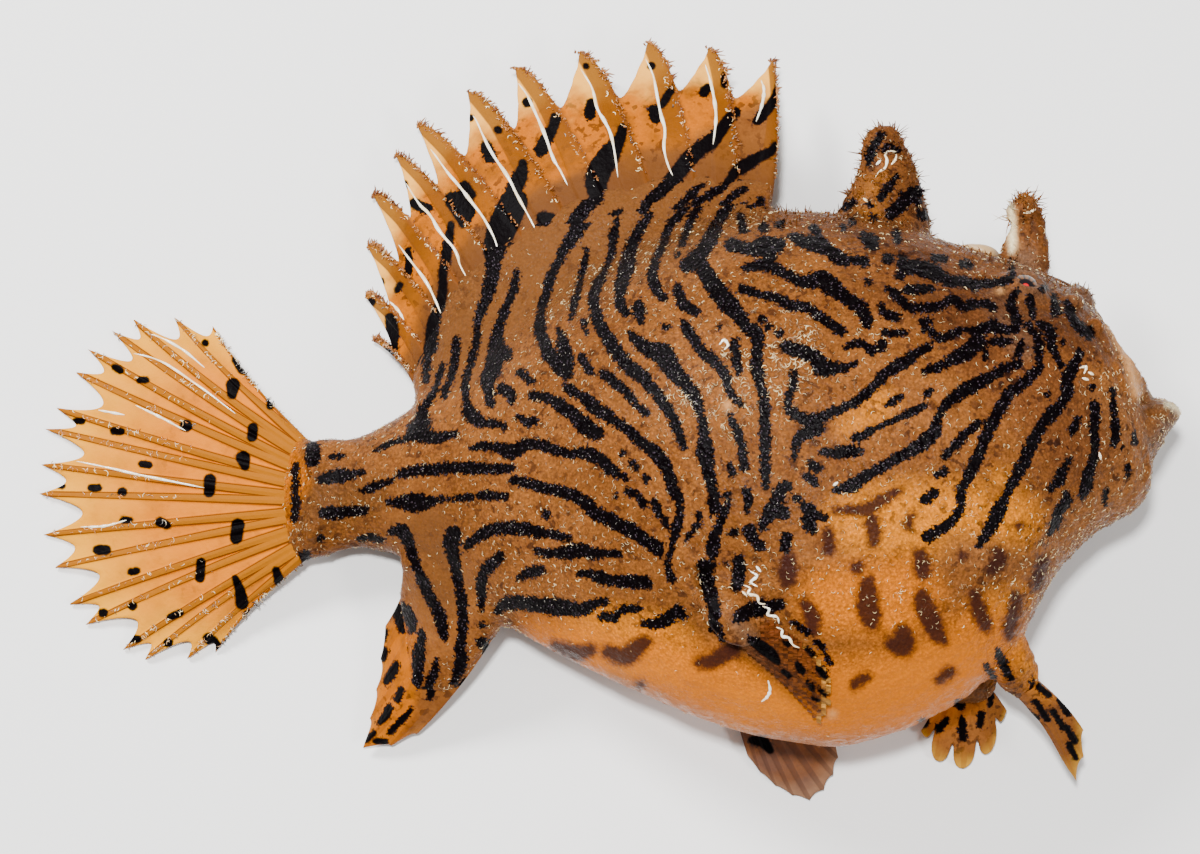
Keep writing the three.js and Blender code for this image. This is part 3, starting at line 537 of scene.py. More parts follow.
# %% Side fins
SIDE_FINS = {
    "pectoral_right": dict(
        on_flank=True,
        arm=[(12.4, -22.0, -2.2), (14.6, -24.0, 1.4), (17.2, -25.9, 2.4), (19.4, -27.4, 1.9)],
        wide=[2.8, 2.9, 2.7, 2.2], thick=[2.6, 2.0, 1.4, 0.8],
        wrist=[(16.3, -28.2, 1.7), (19.2, -24.6, 1.7)],
        tips=[(26.4, -37.5, 1.2), (27.0, -36.3, 1.3), (27.3, -35.0, 1.4), (27.4, -33.7, 1.4),
              (27.2, -32.5, 1.4),
              (26.7, -31.4, 1.4), (26.0, -30.4, 1.4), (25.1, -29.5, 1.3), (24.0, -28.7, 1.3)],
        notch=0.95, bow=-0.6, root=1.4, edge=0.6, ridge=0.6, sag=0.0),
    "pectoral_left": dict(
        arm=[(13.8, -25.6, 5.4), (15.6, -29.8, 4.0), (17.8, -34.0, 3.4), (19.6, -37.0, 3.0)],
        wide=[4.0, 3.8, 3.4, 2.4], thick=[2.6, 2.2, 1.7, 0.9],
        wrist=[(16.2, -36.0, 2.8), (22.0, -32.6, 4.4)],
        tips=[(19.0, -42.6, 1.6), (20.6, -44.6, 1.2), (22.6, -46.4, 0.9), (24.8, -47.7, 0.7),
              (27.0, -48.3, 0.6),
              (28.8, -47.0, 0.9), (30.0, -45.0, 1.5), (30.6, -42.8, 2.2), (30.4, -40.4, 3.0)],
        notch=0.97, bow=0.0, root=1.6, edge=0.6, ridge=0.7, sag=0.03),
    "pelvic_right": dict(
        arm=[(46.6, -25.4, 22.0), (49.0, -28.8, 22.2), (51.8, -32.6, 19.4), (54.0, -35.4, 16.4)],
        wide=[4.3, 3.4, 2.9, 2.3], thick=[3.4, 2.4, 1.5, 0.6],
        wrist=[(50.6, -34.6, 18.0), (54.5, -33.0, 18.6)],
        tips=[(57.3, -40.6, 11.6), (58.9, -43.4, 9.8), (60.2, -45.6, 8.2), (60.9, -42.6, 9.8),
              (60.6, -39.2, 12.0)],
        notch=0.93, bow=-0.8, root=1.9, edge=0.65, ridge=0.8, sag=0.03),
    "pelvic_left": dict(
        arm=[(46.4, -28.2, 8.6), (46.8, -31.6, 6.6), (47.0, -34.2, 5.0), (47.0, -36.2, 4.0)],
        wide=[4.4, 4.2, 4.0, 3.4], thick=[3.0, 2.4, 1.8, 1.1],
        wrist=[(43.4, -34.6, 4.2), (50.6, -33.6, 4.6)],
        tips=[(41.3, -39.4, 1.8), (43.2, -43.1, 1.1), (46.8, -44.2, 0.9), (50.4, -41.9, 1.2),
              (52.3, -36.8, 2.2)],
        notch=0.7, bow=0.0, root=1.8, edge=0.65, ridge=0.9, sag=0.03, rounded=True),
}


def over_skin(points):
    """Takes a blade's points, given with their lift as z, up onto the right flank."""
    spots = [flank(x, y) for x, y, _ in points]
    at = np.array([spot[0] for spot in spots])
    out = np.array([spot[1] for spot in spots])
    return at + out * points[:, 2:3], out


def arm_of(spec):
    path = on_flank(spec["arm"]) if spec.get("on_flank") else spec["arm"]
    return limb(path, spec["wide"], spec["thick"], 32, 40)


def blade_of(spec, **finish):
    near, far = np.array(spec["wrist"], float)
    share = 0.1 + 0.8 * np.linspace(0, 1, len(spec["tips"]))[:, None]
    fan = rays_of(near + (far - near) * share, spec["tips"], spec["bow"], spec["sag"])
    web = fingers(spec["notch"]) if spec.get("rounded") else bay(spec["notch"])
    return fin_sheet(fan, web, root=spec["root"], edge=spec["edge"],
                     lift=over_skin if spec.get("on_flank") else None, **finish)


print("side fins:", ", ".join(SIDE_FINS))

# %% [markdown]
# One skin. The body, the arms, the two thick spines and the feet of the fins overlap as closed
# shells, and a voxel remesh melts them together, which is how soft parts flow into each other.
# The mouth, the eye sockets and the gill hole are then cut with a Boolean, the lips, lids and
# nostrils are laid on, and a second remesh melts those in too.

# %% Melting shapes together
FIRST_VOXEL, SKIN_VOXEL = 0.55, 0.49


def join_shapes(shapes):
    joined = bmesh.new()
    for shape in shapes:
        mesh = bpy.data.meshes.new("part")
        shape.to_mesh(mesh)
        shape.free()
        joined.from_mesh(mesh)
        bpy.data.meshes.remove(mesh)
    return joined


def in_metres(bm):
    put(bm, metres(places(bm)))
    return bm


def applied(thing):
    """The object's mesh with its modifiers applied, as a bmesh in place of the object."""
    graph = bpy.context.evaluated_depsgraph_get()
    bm = bmesh.new()
    mesh = bpy.data.meshes.new_from_object(thing.evaluated_get(graph))
    bm.from_mesh(mesh)
    bpy.data.meshes.remove(mesh)
    bpy.data.objects.remove(thing, do_unlink=True)
    return bm


def melt(bm, voxel):
    thing = new_object("melt", bm)
    remesh = thing.modifiers.new("melt", "REMESH")
    remesh.mode = "VOXEL"
    remesh.voxel_size = voxel * MM
    return applied(thing)


def carve(bm, cutter):
    """Cuts the overlapping closed shells of the cutter out of the mesh."""
    thing, tool = new_object("carved", bm), new_object("cutter", cutter)
    cut = thing.modifiers.new("cut", "BOOLEAN")
    cut.operation = "DIFFERENCE"
    cut.object = tool
    cut.solver = "EXACT"
    result = applied(thing)
    bpy.data.objects.remove(tool, do_unlink=True)
    return result


SPINE_2 = dict(path=[(54.4, 15.4), (54.3, 19.0), (54.2, 22.0), (53.9, 24.6), (53.4, 26.6), (52.8, 27.7)],
               fore=[2.7, 2.2, 1.7, 1.45, 1.4, 1.0], across=[2.3, 1.8, 1.4, 1.2, 1.1, 0.8])
SPINE_3 = dict(path=[(35.6, 17.6), (35.4, 22.8), (35.6, 25.8), (35.8, 28.0), (35.8, 30.6), (35.4, 33.4),
                     (35.0, 36.2)],
               fore=[7.8, 6.6, 5.6, 4.6, 3.8, 3.0, 2.8], across=[4.4, 3.9, 3.3, 2.8, 2.4, 2.0, 1.6])


def spine_path(spine):
    return np.array([(x, y, midline_height(x)[0]) for x, y in spine["path"]])


def feet_of_fins():
    """The thick flesh at the root of each fin, thin again where the clear fin goes on."""
    foot = dict(edge=0.7, ridge=0.2, ray_wide=1.2, start=-0.1)
    whole = edge_from([(0, 1), (1, 1)])
    return [
        fin_sheet(fans["back"], whole, 220, 40, root=9.0, stop=0.42, settle=0.42, **foot),
        fin_sheet(fans["anal"], whole, 90, 30, root=7.0, stop=0.6, settle=0.6, **foot),
        fin_sheet(fans["tail"], whole, 120, 30, root=9.5, stop=0.16, settle=0.16, **foot),
    ]


JAW = dict(path=[(59.5, -8.2, 18.8), (64.6, -3.9, 18.8), (68.9, -0.7, 18.8), (72.2, 0.3, 18.8)],
           tall=[4.6, 4.2, 2.8, 2.1], wide=[10.5, 9.6, 8.0, 5.0])
SPINE_2_WEB = dict(path=[(52.8, 17.0, 19.5), (51.6, 20.4, 19.5), (52.0, 24.4, 19.5)],
                   fore=[2.2, 2.0, 1.2], across=[0.9, 0.7, 0.6])
SNOUT_BUMP = ((58.9, 13.9, 19.8), (2.4, 2.0, 5.2), -0.5)
SPINE_2_KNOB = ((52.5, 25.3, 19.5), (1.9, 1.6, 1.5), 0.4)
shapes = [
    body_shape(),
    limb(JAW["path"], JAW["tall"], JAW["wide"]),
    lump(*SNOUT_BUMP),
    limb(spine_path(SPINE_2), SPINE_2["fore"], SPINE_2["across"]),
    limb(SPINE_2_WEB["path"], SPINE_2_WEB["fore"], SPINE_2_WEB["across"]),
    lump(*SPINE_2_KNOB),
    limb(spine_path(SPINE_3), SPINE_3["fore"], SPINE_3["across"], blunt=0.15),
] + [arm_of(spec) for spec in SIDE_FINS.values()] + feet_of_fins()
flesh = melt(in_metres(join_shapes(shapes)), FIRST_VOXEL)
print("flesh melted:", len(flesh.faces), "faces")

# %% [markdown]
# A frogfish's mouth opens upwards, under a snout that is nearly upright, and its gill is a
# small round hole behind the arm. Ellipsoids cut these and the eye sockets in one Boolean.
# Sculpting would give softer rims, but a script can't repeat a sculptor's hand.

# %% Mouth, sockets and gill
MOUTH_AT, MOUTH_SIZE, MOUTH_FACING = (65.2, 6.9, 19.1), (7.6, 5.2, 7.4), 0.715
MOUTH_AHEAD = np.array([math.cos(MOUTH_FACING), math.sin(MOUTH_FACING), 0])
SOCKET_ROOM = 0.1
gill_at = flank(12.4, -21.6)[0]
hollows = [lump(MOUTH_AT, (1, 1, 1)), lump(gill_at, (1.1, 2.1, 1.6), 0.3)]
put(hollows[0], turned((places(hollows[0]) - MOUTH_AT) * MOUTH_SIZE, MOUTH_FACING) + MOUTH_AT)
for at, out in eye_spots.values():
    hollows.append(lump(at - out * EYE_SUNK, (EYE_RADIUS + SOCKET_ROOM,) * 3))
for hollow in hollows:
    bmesh.ops.recalc_face_normals(hollow, faces=hollow.faces[:])
carved = carve(flesh, in_metres(join_shapes(hollows)))
print("carved:", len(carved.faces), "faces")

# %% [markdown]
# The lip, the lids and the rims of the nostrils are round tubes bent into rings. A ring that
# overlaps the head melts into it at the second remesh, and a few turns of smoothing take the
# steps of the voxels away. The lip's corners are drawn back, because the mouth is wide.

# %% Lips, lids and nostrils
LIP = dict(at=(64.3, 7.4, 19.1), tall=6.0, wide=8.4, tube=1.2, side=15, bulge=22)
LID = dict(radius=1.85, tube=0.95, lift=0.05)
NOSTRILS = ((57.4, 12.4, 0.95, 1.2), (60.0, 9.6, 0.8, 1.0))  # x, y, radius, height
SMOOTHING = 3


def lip_path():
    turn = np.linspace(0, 2 * math.pi, 28, endpoint=False)
    upward = np.array([-MOUTH_AHEAD[1], MOUTH_AHEAD[0], 0])
    across, tall = LIP["wide"] * np.sin(turn), LIP["tall"] * np.cos(turn)
    back = across**2 / (2 * LIP["side"]) + tall**2 / LIP["bulge"]
    return (np.array(LIP["at"]) + upward * tall[:, None] - MOUTH_AHEAD * back[:, None]
            + np.array([0, 0, 1]) * across[:, None])


def circle_at(at, out, radius, count):
    """Points of a circle round a place on the skin."""
    first = unit(np.cross(out, [0, 0, 1.0]))
    second = np.cross(out, first)
    turn = np.linspace(0, 2 * math.pi, count, endpoint=False)[:, None]
    return at + (first * np.cos(turn) + second * np.sin(turn)) * radius


laid_on = [ring(lip_path(), LIP["tube"], 14, 160, start=MOUTH_AHEAD)]
for at, out in eye_spots.values():
    lid = circle_at(at + out * LID["lift"], out, LID["radius"], 16)
    laid_on.append(ring(lid, LID["tube"], 12, 64, start=out))
for x, y, radius, tall in NOSTRILS:
    for at, out in (flank(x, y), mirrored(*flank(x, y))):
        rim = circle_at(at + out * (tall - 0.5), out, radius * 0.8, 12)
        laid_on.append(ring(rim, radius * 0.42, 10, 40, start=out))
laid_on = in_metres(join_shapes(laid_on))
mesh = bpy.data.meshes.new("laid_on")
laid_on.to_mesh(mesh)
laid_on.free()
carved.from_mesh(mesh)
bpy.data.meshes.remove(mesh)
skin_shape = melt(carved, SKIN_VOXEL)
for _ in range(SMOOTHING):
    bmesh.ops.smooth_vert(skin_shape, verts=skin_shape.verts[:], factor=0.5,
                          use_axis_x=True, use_axis_y=True, use_axis_z=True)
print("skin:", len(skin_shape.verts), "points")

# %% [markdown]
# The markings are strokes of a brush, read from the photograph as a maker would sketch
# them: pixels along the middle of each stripe with its width there. Stripes on the body are
# crisp, those on the belly are brown and blurred. Every point of a piece is looked up with the
# camera's own arithmetic, and gets its distance to the nearest stroke, so the edge of a stripe
# stays sharp in the material however coarse the mesh is.

# %% Stripes of the back
BACK_STRIPES = [
    [(600, 196, 14), (590, 209, 14), (579, 228, 13), (567, 245, 10), (558, 263, 8), (550, 278, 8),
     (546, 297, 7), (541, 312, 8), (540, 331, 10), (546, 347, 12), (556, 362, 14), (567, 372, 13)],
    [(560, 331, 5), (565, 352, 12), (567, 368, 12)],
    [(514, 202, 26), (504, 224, 28), (495, 247, 22), (493, 266, 13), (490, 286, 12), (484, 305, 9),
     (479, 320, 7), (477, 335, 6), (474, 352, 6), (469, 370, 6), (465, 383, 6), (466, 398, 6),
     (469, 411, 13), (475, 419, 12), (485, 423, 8), (495, 424, 8), (505, 427, 5)],
    [(517, 272, 5), (514, 286, 7), (508, 305, 7), (500, 322, 9), (497, 343, 12), (495, 362, 16),
     (489, 377, 13), (488, 391, 9), (491, 405, 6)], [(504, 354, 14)],
    [(587, 249, 4), (584, 266, 5), (579, 286, 5), (574, 305, 6), (571, 318, 5)],
    [(584, 322, 6), (586, 332, 5)],
    [(628, 209, 5), (618, 219, 6), (613, 238, 7), (612, 253, 5), (604, 272, 6), (596, 287, 8),
     (594, 305, 9), (598, 320, 11), (607, 337, 12), (617, 352, 12), (628, 366, 12), (645, 379, 12),
     (658, 396, 10), (672, 416, 9), (679, 432, 8), (684, 447, 5)],
    [(658, 196, 9), (651, 211, 8), (641, 228, 8), (631, 247, 10), (627, 266, 14), (621, 286, 11),
     (620, 303, 9), (627, 314, 6)], [(639, 301, 5), (639, 312, 12), (641, 322, 5)],
    [(696, 194, 8), (683, 211, 8), (670, 226, 7), (663, 244, 7), (656, 261, 7), (652, 276, 9),
     (656, 287, 10), (663, 298, 6)],
    [(717, 192, 10), (704, 202, 7), (695, 213, 6), (687, 230, 7), (682, 244, 6)], [(677, 255, 4)],
    [(740, 194, 7), (729, 207, 8), (717, 224, 10), (710, 240, 13), (700, 253, 13), (687, 266, 14)],
    [(700, 262, 12), (704, 270, 14), (714, 286, 16), (727, 301, 18), (738, 314, 14), (748, 328, 12),
     (757, 335, 13), (757, 352, 10), (757, 372, 10), (763, 396, 9), (764, 405, 9), (765, 428, 10),
     (765, 453, 9), (765, 472, 8), (766, 489, 4)], [(677, 287, 7), (683, 303, 10), (696, 312, 8)],
    [(683, 322, 6), (691, 335, 10), (702, 351, 10), (715, 362, 10), (725, 377, 8), (731, 393, 7),
     (741, 405, 5)],
    [(631, 333, 7), (643, 347, 12), (662, 354, 20), (672, 368, 17), (683, 381, 14), (694, 396, 12),
     (700, 412, 7), (704, 432, 10), (705, 453, 14), (708, 470, 12), (712, 485, 9), (714, 504, 10),
     (713, 514, 5)], [(735, 341, 6), (736, 354, 8), (739, 372, 6)],
    [(733, 245, 14), (750, 249, 12), (765, 247, 20), (778, 245, 14)], [(769, 255, 14), (769, 262, 12)],
    [(746, 267, 6), (765, 265, 12), (782, 272, 10), (801, 282, 10), (822, 280, 18), (838, 291, 14),
     (851, 301, 12), (864, 312, 12), (868, 324, 9)],
    [(742, 289, 7), (761, 295, 7), (778, 299, 9), (792, 306, 9), (805, 307, 9), (819, 316, 10),
     (832, 326, 9), (842, 331, 8)],
    [(792, 236, 6), (803, 242, 12), (819, 245, 16), (830, 251, 11), (840, 259, 13), (853, 260, 8),
     (864, 261, 8)], [(780, 224, 8)], [(763, 228, 8)], [(740, 216, 6), (744, 230, 8)], [(751, 205, 7)],
    [(767, 203, 6)], [(813, 228, 7), (818, 234, 7)], [(843, 228, 6)], [(849, 205, 8)], [(870, 205, 6)],
    [(780, 333, 8)], [(762, 319, 6)], [(666, 327, 6)], [(719, 327, 5)], [(769, 327, 6)],
    [(786, 347, 12), (803, 352, 14), (815, 358, 14), (823, 368, 16), (840, 368, 9), (855, 364, 5)],
    [(847, 347, 5), (859, 343, 6), (872, 350, 9)],
    [(603, 373, 7), (615, 383, 9), (626, 391, 9), (635, 403, 6), (646, 413, 7)],
    [(794, 373, 8), (793, 387, 7), (788, 398, 6), (790, 411, 8), (801, 418, 10), (812, 422, 14),
     (818, 428, 12), (805, 434, 12), (798, 438, 7), (795, 451, 6), (793, 458, 5)],
    [(929, 347, 6), (913, 356, 9), (898, 366, 10), (883, 375, 10), (870, 391, 8), (853, 403, 8),
     (837, 411, 9), (824, 416, 10), (812, 422, 13)], [(582, 358, 8), (590, 372, 6)],
    [(568, 388, 8), (586, 399, 9), (599, 411, 12), (616, 421, 10), (632, 434, 10), (645, 445, 11),
     (658, 456, 12), (667, 470, 10), (672, 487, 11), (678, 498, 10), (680, 514, 6), (676, 531, 8),
     (672, 548, 4), (668, 567, 5), (672, 579, 6)], [(521, 373, 8), (531, 381, 7)],
    [(502, 389, 10), (510, 394, 10), (511, 401, 5)],
    [(533, 396, 8), (546, 397, 8), (559, 405, 11), (574, 416, 12), (586, 426, 15), (597, 433, 14)],
]
print(len(BACK_STRIPES), "strokes on the back")

# %% Stripes of the head
HEAD_STRIPES = [
    [(864, 236, 8), (872, 242, 15)], [(888, 259, 10)], [(864, 263, 9)], [(873, 219, 6)], [(868, 282, 6)],
    [(902, 257, 6), (904, 266, 12), (921, 268, 14), (936, 274, 14), (946, 280, 10), (963, 282, 9),
     (978, 284, 8), (994, 283, 7), (1009, 280, 7), (1013, 266, 5), (1009, 259, 5)], [(975, 287, 6)],
    [(908, 290, 8), (919, 289, 8), (931, 289, 6)],
    [(889, 289, 7), (898, 297, 8), (906, 305, 8), (917, 308, 8), (931, 307, 8), (944, 304, 8),
     (954, 299, 7), (961, 307, 8), (975, 304, 8), (986, 303, 7), (994, 308, 6)],
    [(881, 305, 5), (884, 314, 7), (896, 318, 7)], [(885, 332, 7), (894, 333, 7), (906, 332, 5)],
    [(921, 322, 5), (930, 321, 4)],
    [(925, 329, 5), (934, 333, 6), (940, 339, 7), (952, 335, 7), (963, 330, 5), (978, 331, 8),
     (990, 326, 10), (1001, 329, 8), (1015, 329, 8), (1016, 316, 8), (1011, 306, 7), (1013, 297, 6),
     (1018, 290, 5)], [(992, 341, 6), (1001, 342, 7), (1009, 341, 5)], [(985, 346, 5), (985, 358, 5)],
    [(977, 341, 14), (971, 349, 14), (959, 356, 11), (944, 364, 9), (927, 371, 8)],
    [(1018, 364, 7), (1001, 371, 9), (982, 381, 11), (967, 390, 12), (954, 397, 10), (943, 407, 9),
     (938, 418, 7), (933, 433, 11), (921, 445, 13), (908, 453, 11), (893, 460, 9), (879, 469, 9),
     (864, 477, 11), (851, 486, 10), (835, 490, 6)],
    [(1028, 324, 5), (1032, 331, 5), (1038, 339, 7), (1038, 352, 7), (1040, 366, 6), (1032, 375, 9),
     (1018, 387, 10), (1009, 393, 10), (1000, 409, 11), (992, 424, 11), (984, 441, 9), (977, 458, 9),
     (969, 475, 8), (961, 491, 9), (961, 508, 6), (954, 519, 8), (938, 531, 10), (927, 537, 10)],
    [(1030, 297, 6), (1031, 308, 7), (1033, 316, 5)], [(1022, 343, 6), (1017, 356, 6)], [(1043, 289, 6)],
    [(1054, 297, 5), (1056, 312, 9)], [(1067, 303, 6), (1071, 314, 9), (1078, 326, 9), (1089, 333, 12)],
    [(1040, 324, 6), (1051, 331, 8), (1051, 345, 8), (1057, 356, 5), (1061, 366, 4)], [(1063, 343, 5)],
    [(1080, 352, 7), (1074, 366, 10), (1068, 379, 11), (1067, 393, 9), (1060, 406, 8), (1052, 413, 13),
     (1044, 423, 9), (1036, 436, 10), (1029, 450, 11), (1022, 465, 10), (1014, 481, 9), (1007, 493, 7),
     (1000, 508, 11), (994, 521, 12), (986, 535, 8), (979, 545, 5)], [(931, 391, 6), (927, 395, 5)],
    [(900, 276, 8)], [(882, 345, 10)], [(871, 352, 9)], [(862, 343, 7)], [(864, 308, 9)], [(868, 322, 9)],
    [(934, 257, 7), (944, 259, 7)], [(963, 264, 8), (971, 266, 5)], [(1047, 396, 6)], [(1092, 387, 6)],
    [(1112, 391, 5)], [(1078, 419, 5), (1072, 431, 7)],
    [(1095, 404, 8), (1095, 418, 9), (1094, 434, 8), (1095, 445, 6), (1093, 459, 7), (1089, 473, 9),
     (1086, 486, 10), (1083, 495, 7)],
    [(1113, 396, 4), (1113, 406, 4), (1115, 421, 6), (1116, 436, 8), (1114, 444, 6)],
    [(1070, 460, 5), (1063, 470, 9), (1059, 481, 10), (1050, 490, 6)],
    [(1065, 493, 5), (1067, 501, 8), (1060, 511, 8), (1055, 524, 8), (1049, 534, 4)],
    [(1134, 434, 4), (1135, 442, 5)], [(1128, 466, 4), (1128, 477, 4)], [(1105, 492, 4), (1105, 503, 4)],
    [(1122, 447, 4)], [(1047, 243, 9), (1041, 253, 7), (1036, 261, 5)],
    [(897, 177, 5), (889, 187, 6), (879, 199, 7)],
    [(920, 190, 9), (908, 197, 12), (898, 207, 12), (889, 215, 8)], [(923, 215, 10)],
    [(881, 134, 6), (875, 145, 8), (871, 155, 8), (868, 163, 5)],
    [(884, 150, 5), (890, 146, 5), (898, 151, 6)], [(853, 202, 6), (845, 208, 5)], [(873, 217, 6)],
    [(852, 222, 7)], [(1026, 204, 7), (1024, 214, 6), (1026, 224, 5)], [(896, 232, 6), (898, 240, 6)],
    [(917, 201, 8)],
]
print(len(HEAD_STRIPES), "strokes on the head")

# %% Stripes of the flank and tail root
FLANK_STRIPES = [
    [(731, 416, 4), (737, 432, 8), (742, 449, 7), (744, 468, 6)],
    [(580, 574, 6), (592, 575, 9), (610, 580, 10), (630, 582, 11), (647, 583, 12)],
    [(630, 462, 5), (637, 467, 6)], [(646, 479, 7)], [(628, 491, 6), (637, 495, 6), (644, 505, 7)],
    [(654, 502, 6), (657, 509, 8), (660, 516, 5)], [(664, 517, 4), (667, 527, 4)], [(615, 495, 4)],
    [(622, 453, 4)], [(727, 495, 8)], [(747, 491, 8), (748, 503, 7), (746, 511, 5)],
    [(729, 466, 5), (732, 474, 6)],
    [(729, 504, 5), (725, 512, 7), (718, 527, 7), (714, 540, 10), (713, 552, 12)],
    [(699, 514, 5), (697, 525, 4), (685, 541, 3)], [(733, 533, 8)], [(749, 530, 10), (753, 538, 11)],
    [(760, 546, 11)], [(787, 536, 9), (785, 548, 9)],
    [(763, 527, 8), (769, 514, 14), (777, 502, 12), (781, 487, 10), (788, 487, 10)],
    [(779, 510, 14), (784, 514, 10)], [(796, 497, 6)], [(712, 565, 9)],
    [(739, 560, 9), (739, 571, 12), (737, 586, 9)], [(727, 563, 5)],
    [(902, 395, 4), (893, 401, 6), (887, 405, 4)],
    [(925, 405, 5), (912, 412, 7), (896, 419, 5), (879, 426, 4), (864, 435, 9), (853, 438, 6)],
    [(822, 452, 6), (837, 453, 9), (851, 451, 10), (859, 452, 7)], [(811, 464, 6), (817, 468, 10)],
    [(807, 476, 4), (816, 483, 8)], [(803, 504, 6), (811, 514, 14), (809, 521, 13), (814, 531, 7)],
    [(815, 514, 8), (826, 518, 5)], [(978, 423, 6), (967, 433, 8), (956, 445, 8), (946, 456, 7)],
    [(944, 472, 8), (937, 476, 6)], [(935, 493, 9), (925, 500, 9)],
    [(472, 448, 5), (483, 446, 8), (499, 448, 8), (512, 451, 13), (525, 445, 11), (541, 445, 9),
     (558, 451, 8), (569, 454, 9), (588, 454, 12), (601, 460, 10), (614, 472, 9), (626, 478, 5)],
    [(518, 417, 5), (527, 422, 8), (535, 421, 6)],
    [(401, 474, 7), (416, 471, 9), (437, 469, 11), (458, 468, 10), (478, 469, 10), (497, 469, 8),
     (512, 469, 5)],
    [(512, 480, 7), (525, 483, 9), (541, 487, 9), (556, 490, 9), (569, 494, 10), (582, 500, 11),
     (595, 512, 13), (613, 521, 12), (630, 530, 12), (645, 539, 11), (655, 546, 12), (660, 554, 6)],
    [(321, 479, 7), (334, 476, 12), (348, 475, 10), (363, 473, 4)],
    [(362, 491, 5), (374, 487, 7), (386, 483, 6), (392, 481, 4)],
    [(388, 503, 4), (401, 502, 10), (416, 503, 17), (430, 502, 9), (443, 499, 5), (462, 498, 5),
     (480, 496, 6), (493, 496, 8), (506, 496, 4)],
    [(322, 513, 8), (336, 513, 12), (352, 511, 9), (365, 511, 7)], [(304, 555, 9), (309, 566, 10)],
    [(422, 409, 6), (422, 424, 16), (415, 432, 16), (430, 437, 12), (441, 437, 8), (455, 434, 5)],
    [(410, 437, 8), (401, 440, 5), (386, 445, 4), (375, 451, 3)], [(546, 514, 8)],
    [(466, 547, 5), (478, 537, 10), (493, 529, 11), (510, 528, 12), (527, 529, 11), (541, 533, 8),
     (559, 536, 7), (571, 538, 4)],
    [(537, 551, 6), (550, 553, 8), (569, 552, 13), (582, 551, 12), (597, 554, 8), (613, 553, 6),
     (620, 554, 4)], [(520, 578, 5), (528, 573, 9), (540, 570, 8)],
    [(497, 611, 6), (504, 605, 10), (516, 602, 13), (530, 604, 13), (545, 606, 14), (560, 608, 15),
     (575, 609, 13), (588, 608, 10)], [(592, 604, 8), (605, 602, 6)], [(604, 617, 8), (616, 617, 8)],
    [(618, 613, 6), (628, 609, 8), (638, 608, 6)],
    [(645, 623, 6), (655, 624, 9), (668, 618, 12), (677, 610, 10), (682, 616, 8)],
    [(359, 539, 3), (371, 537, 6), (382, 540, 4)], [(321, 538, 5)], [(332, 457, 4), (344, 456, 4)],
    [(707, 582, 10), (712, 597, 11), (714, 612, 12), (714, 622, 8), (712, 628, 5)],
]
print(len(FLANK_STRIPES), "strokes on the flank and tail root")

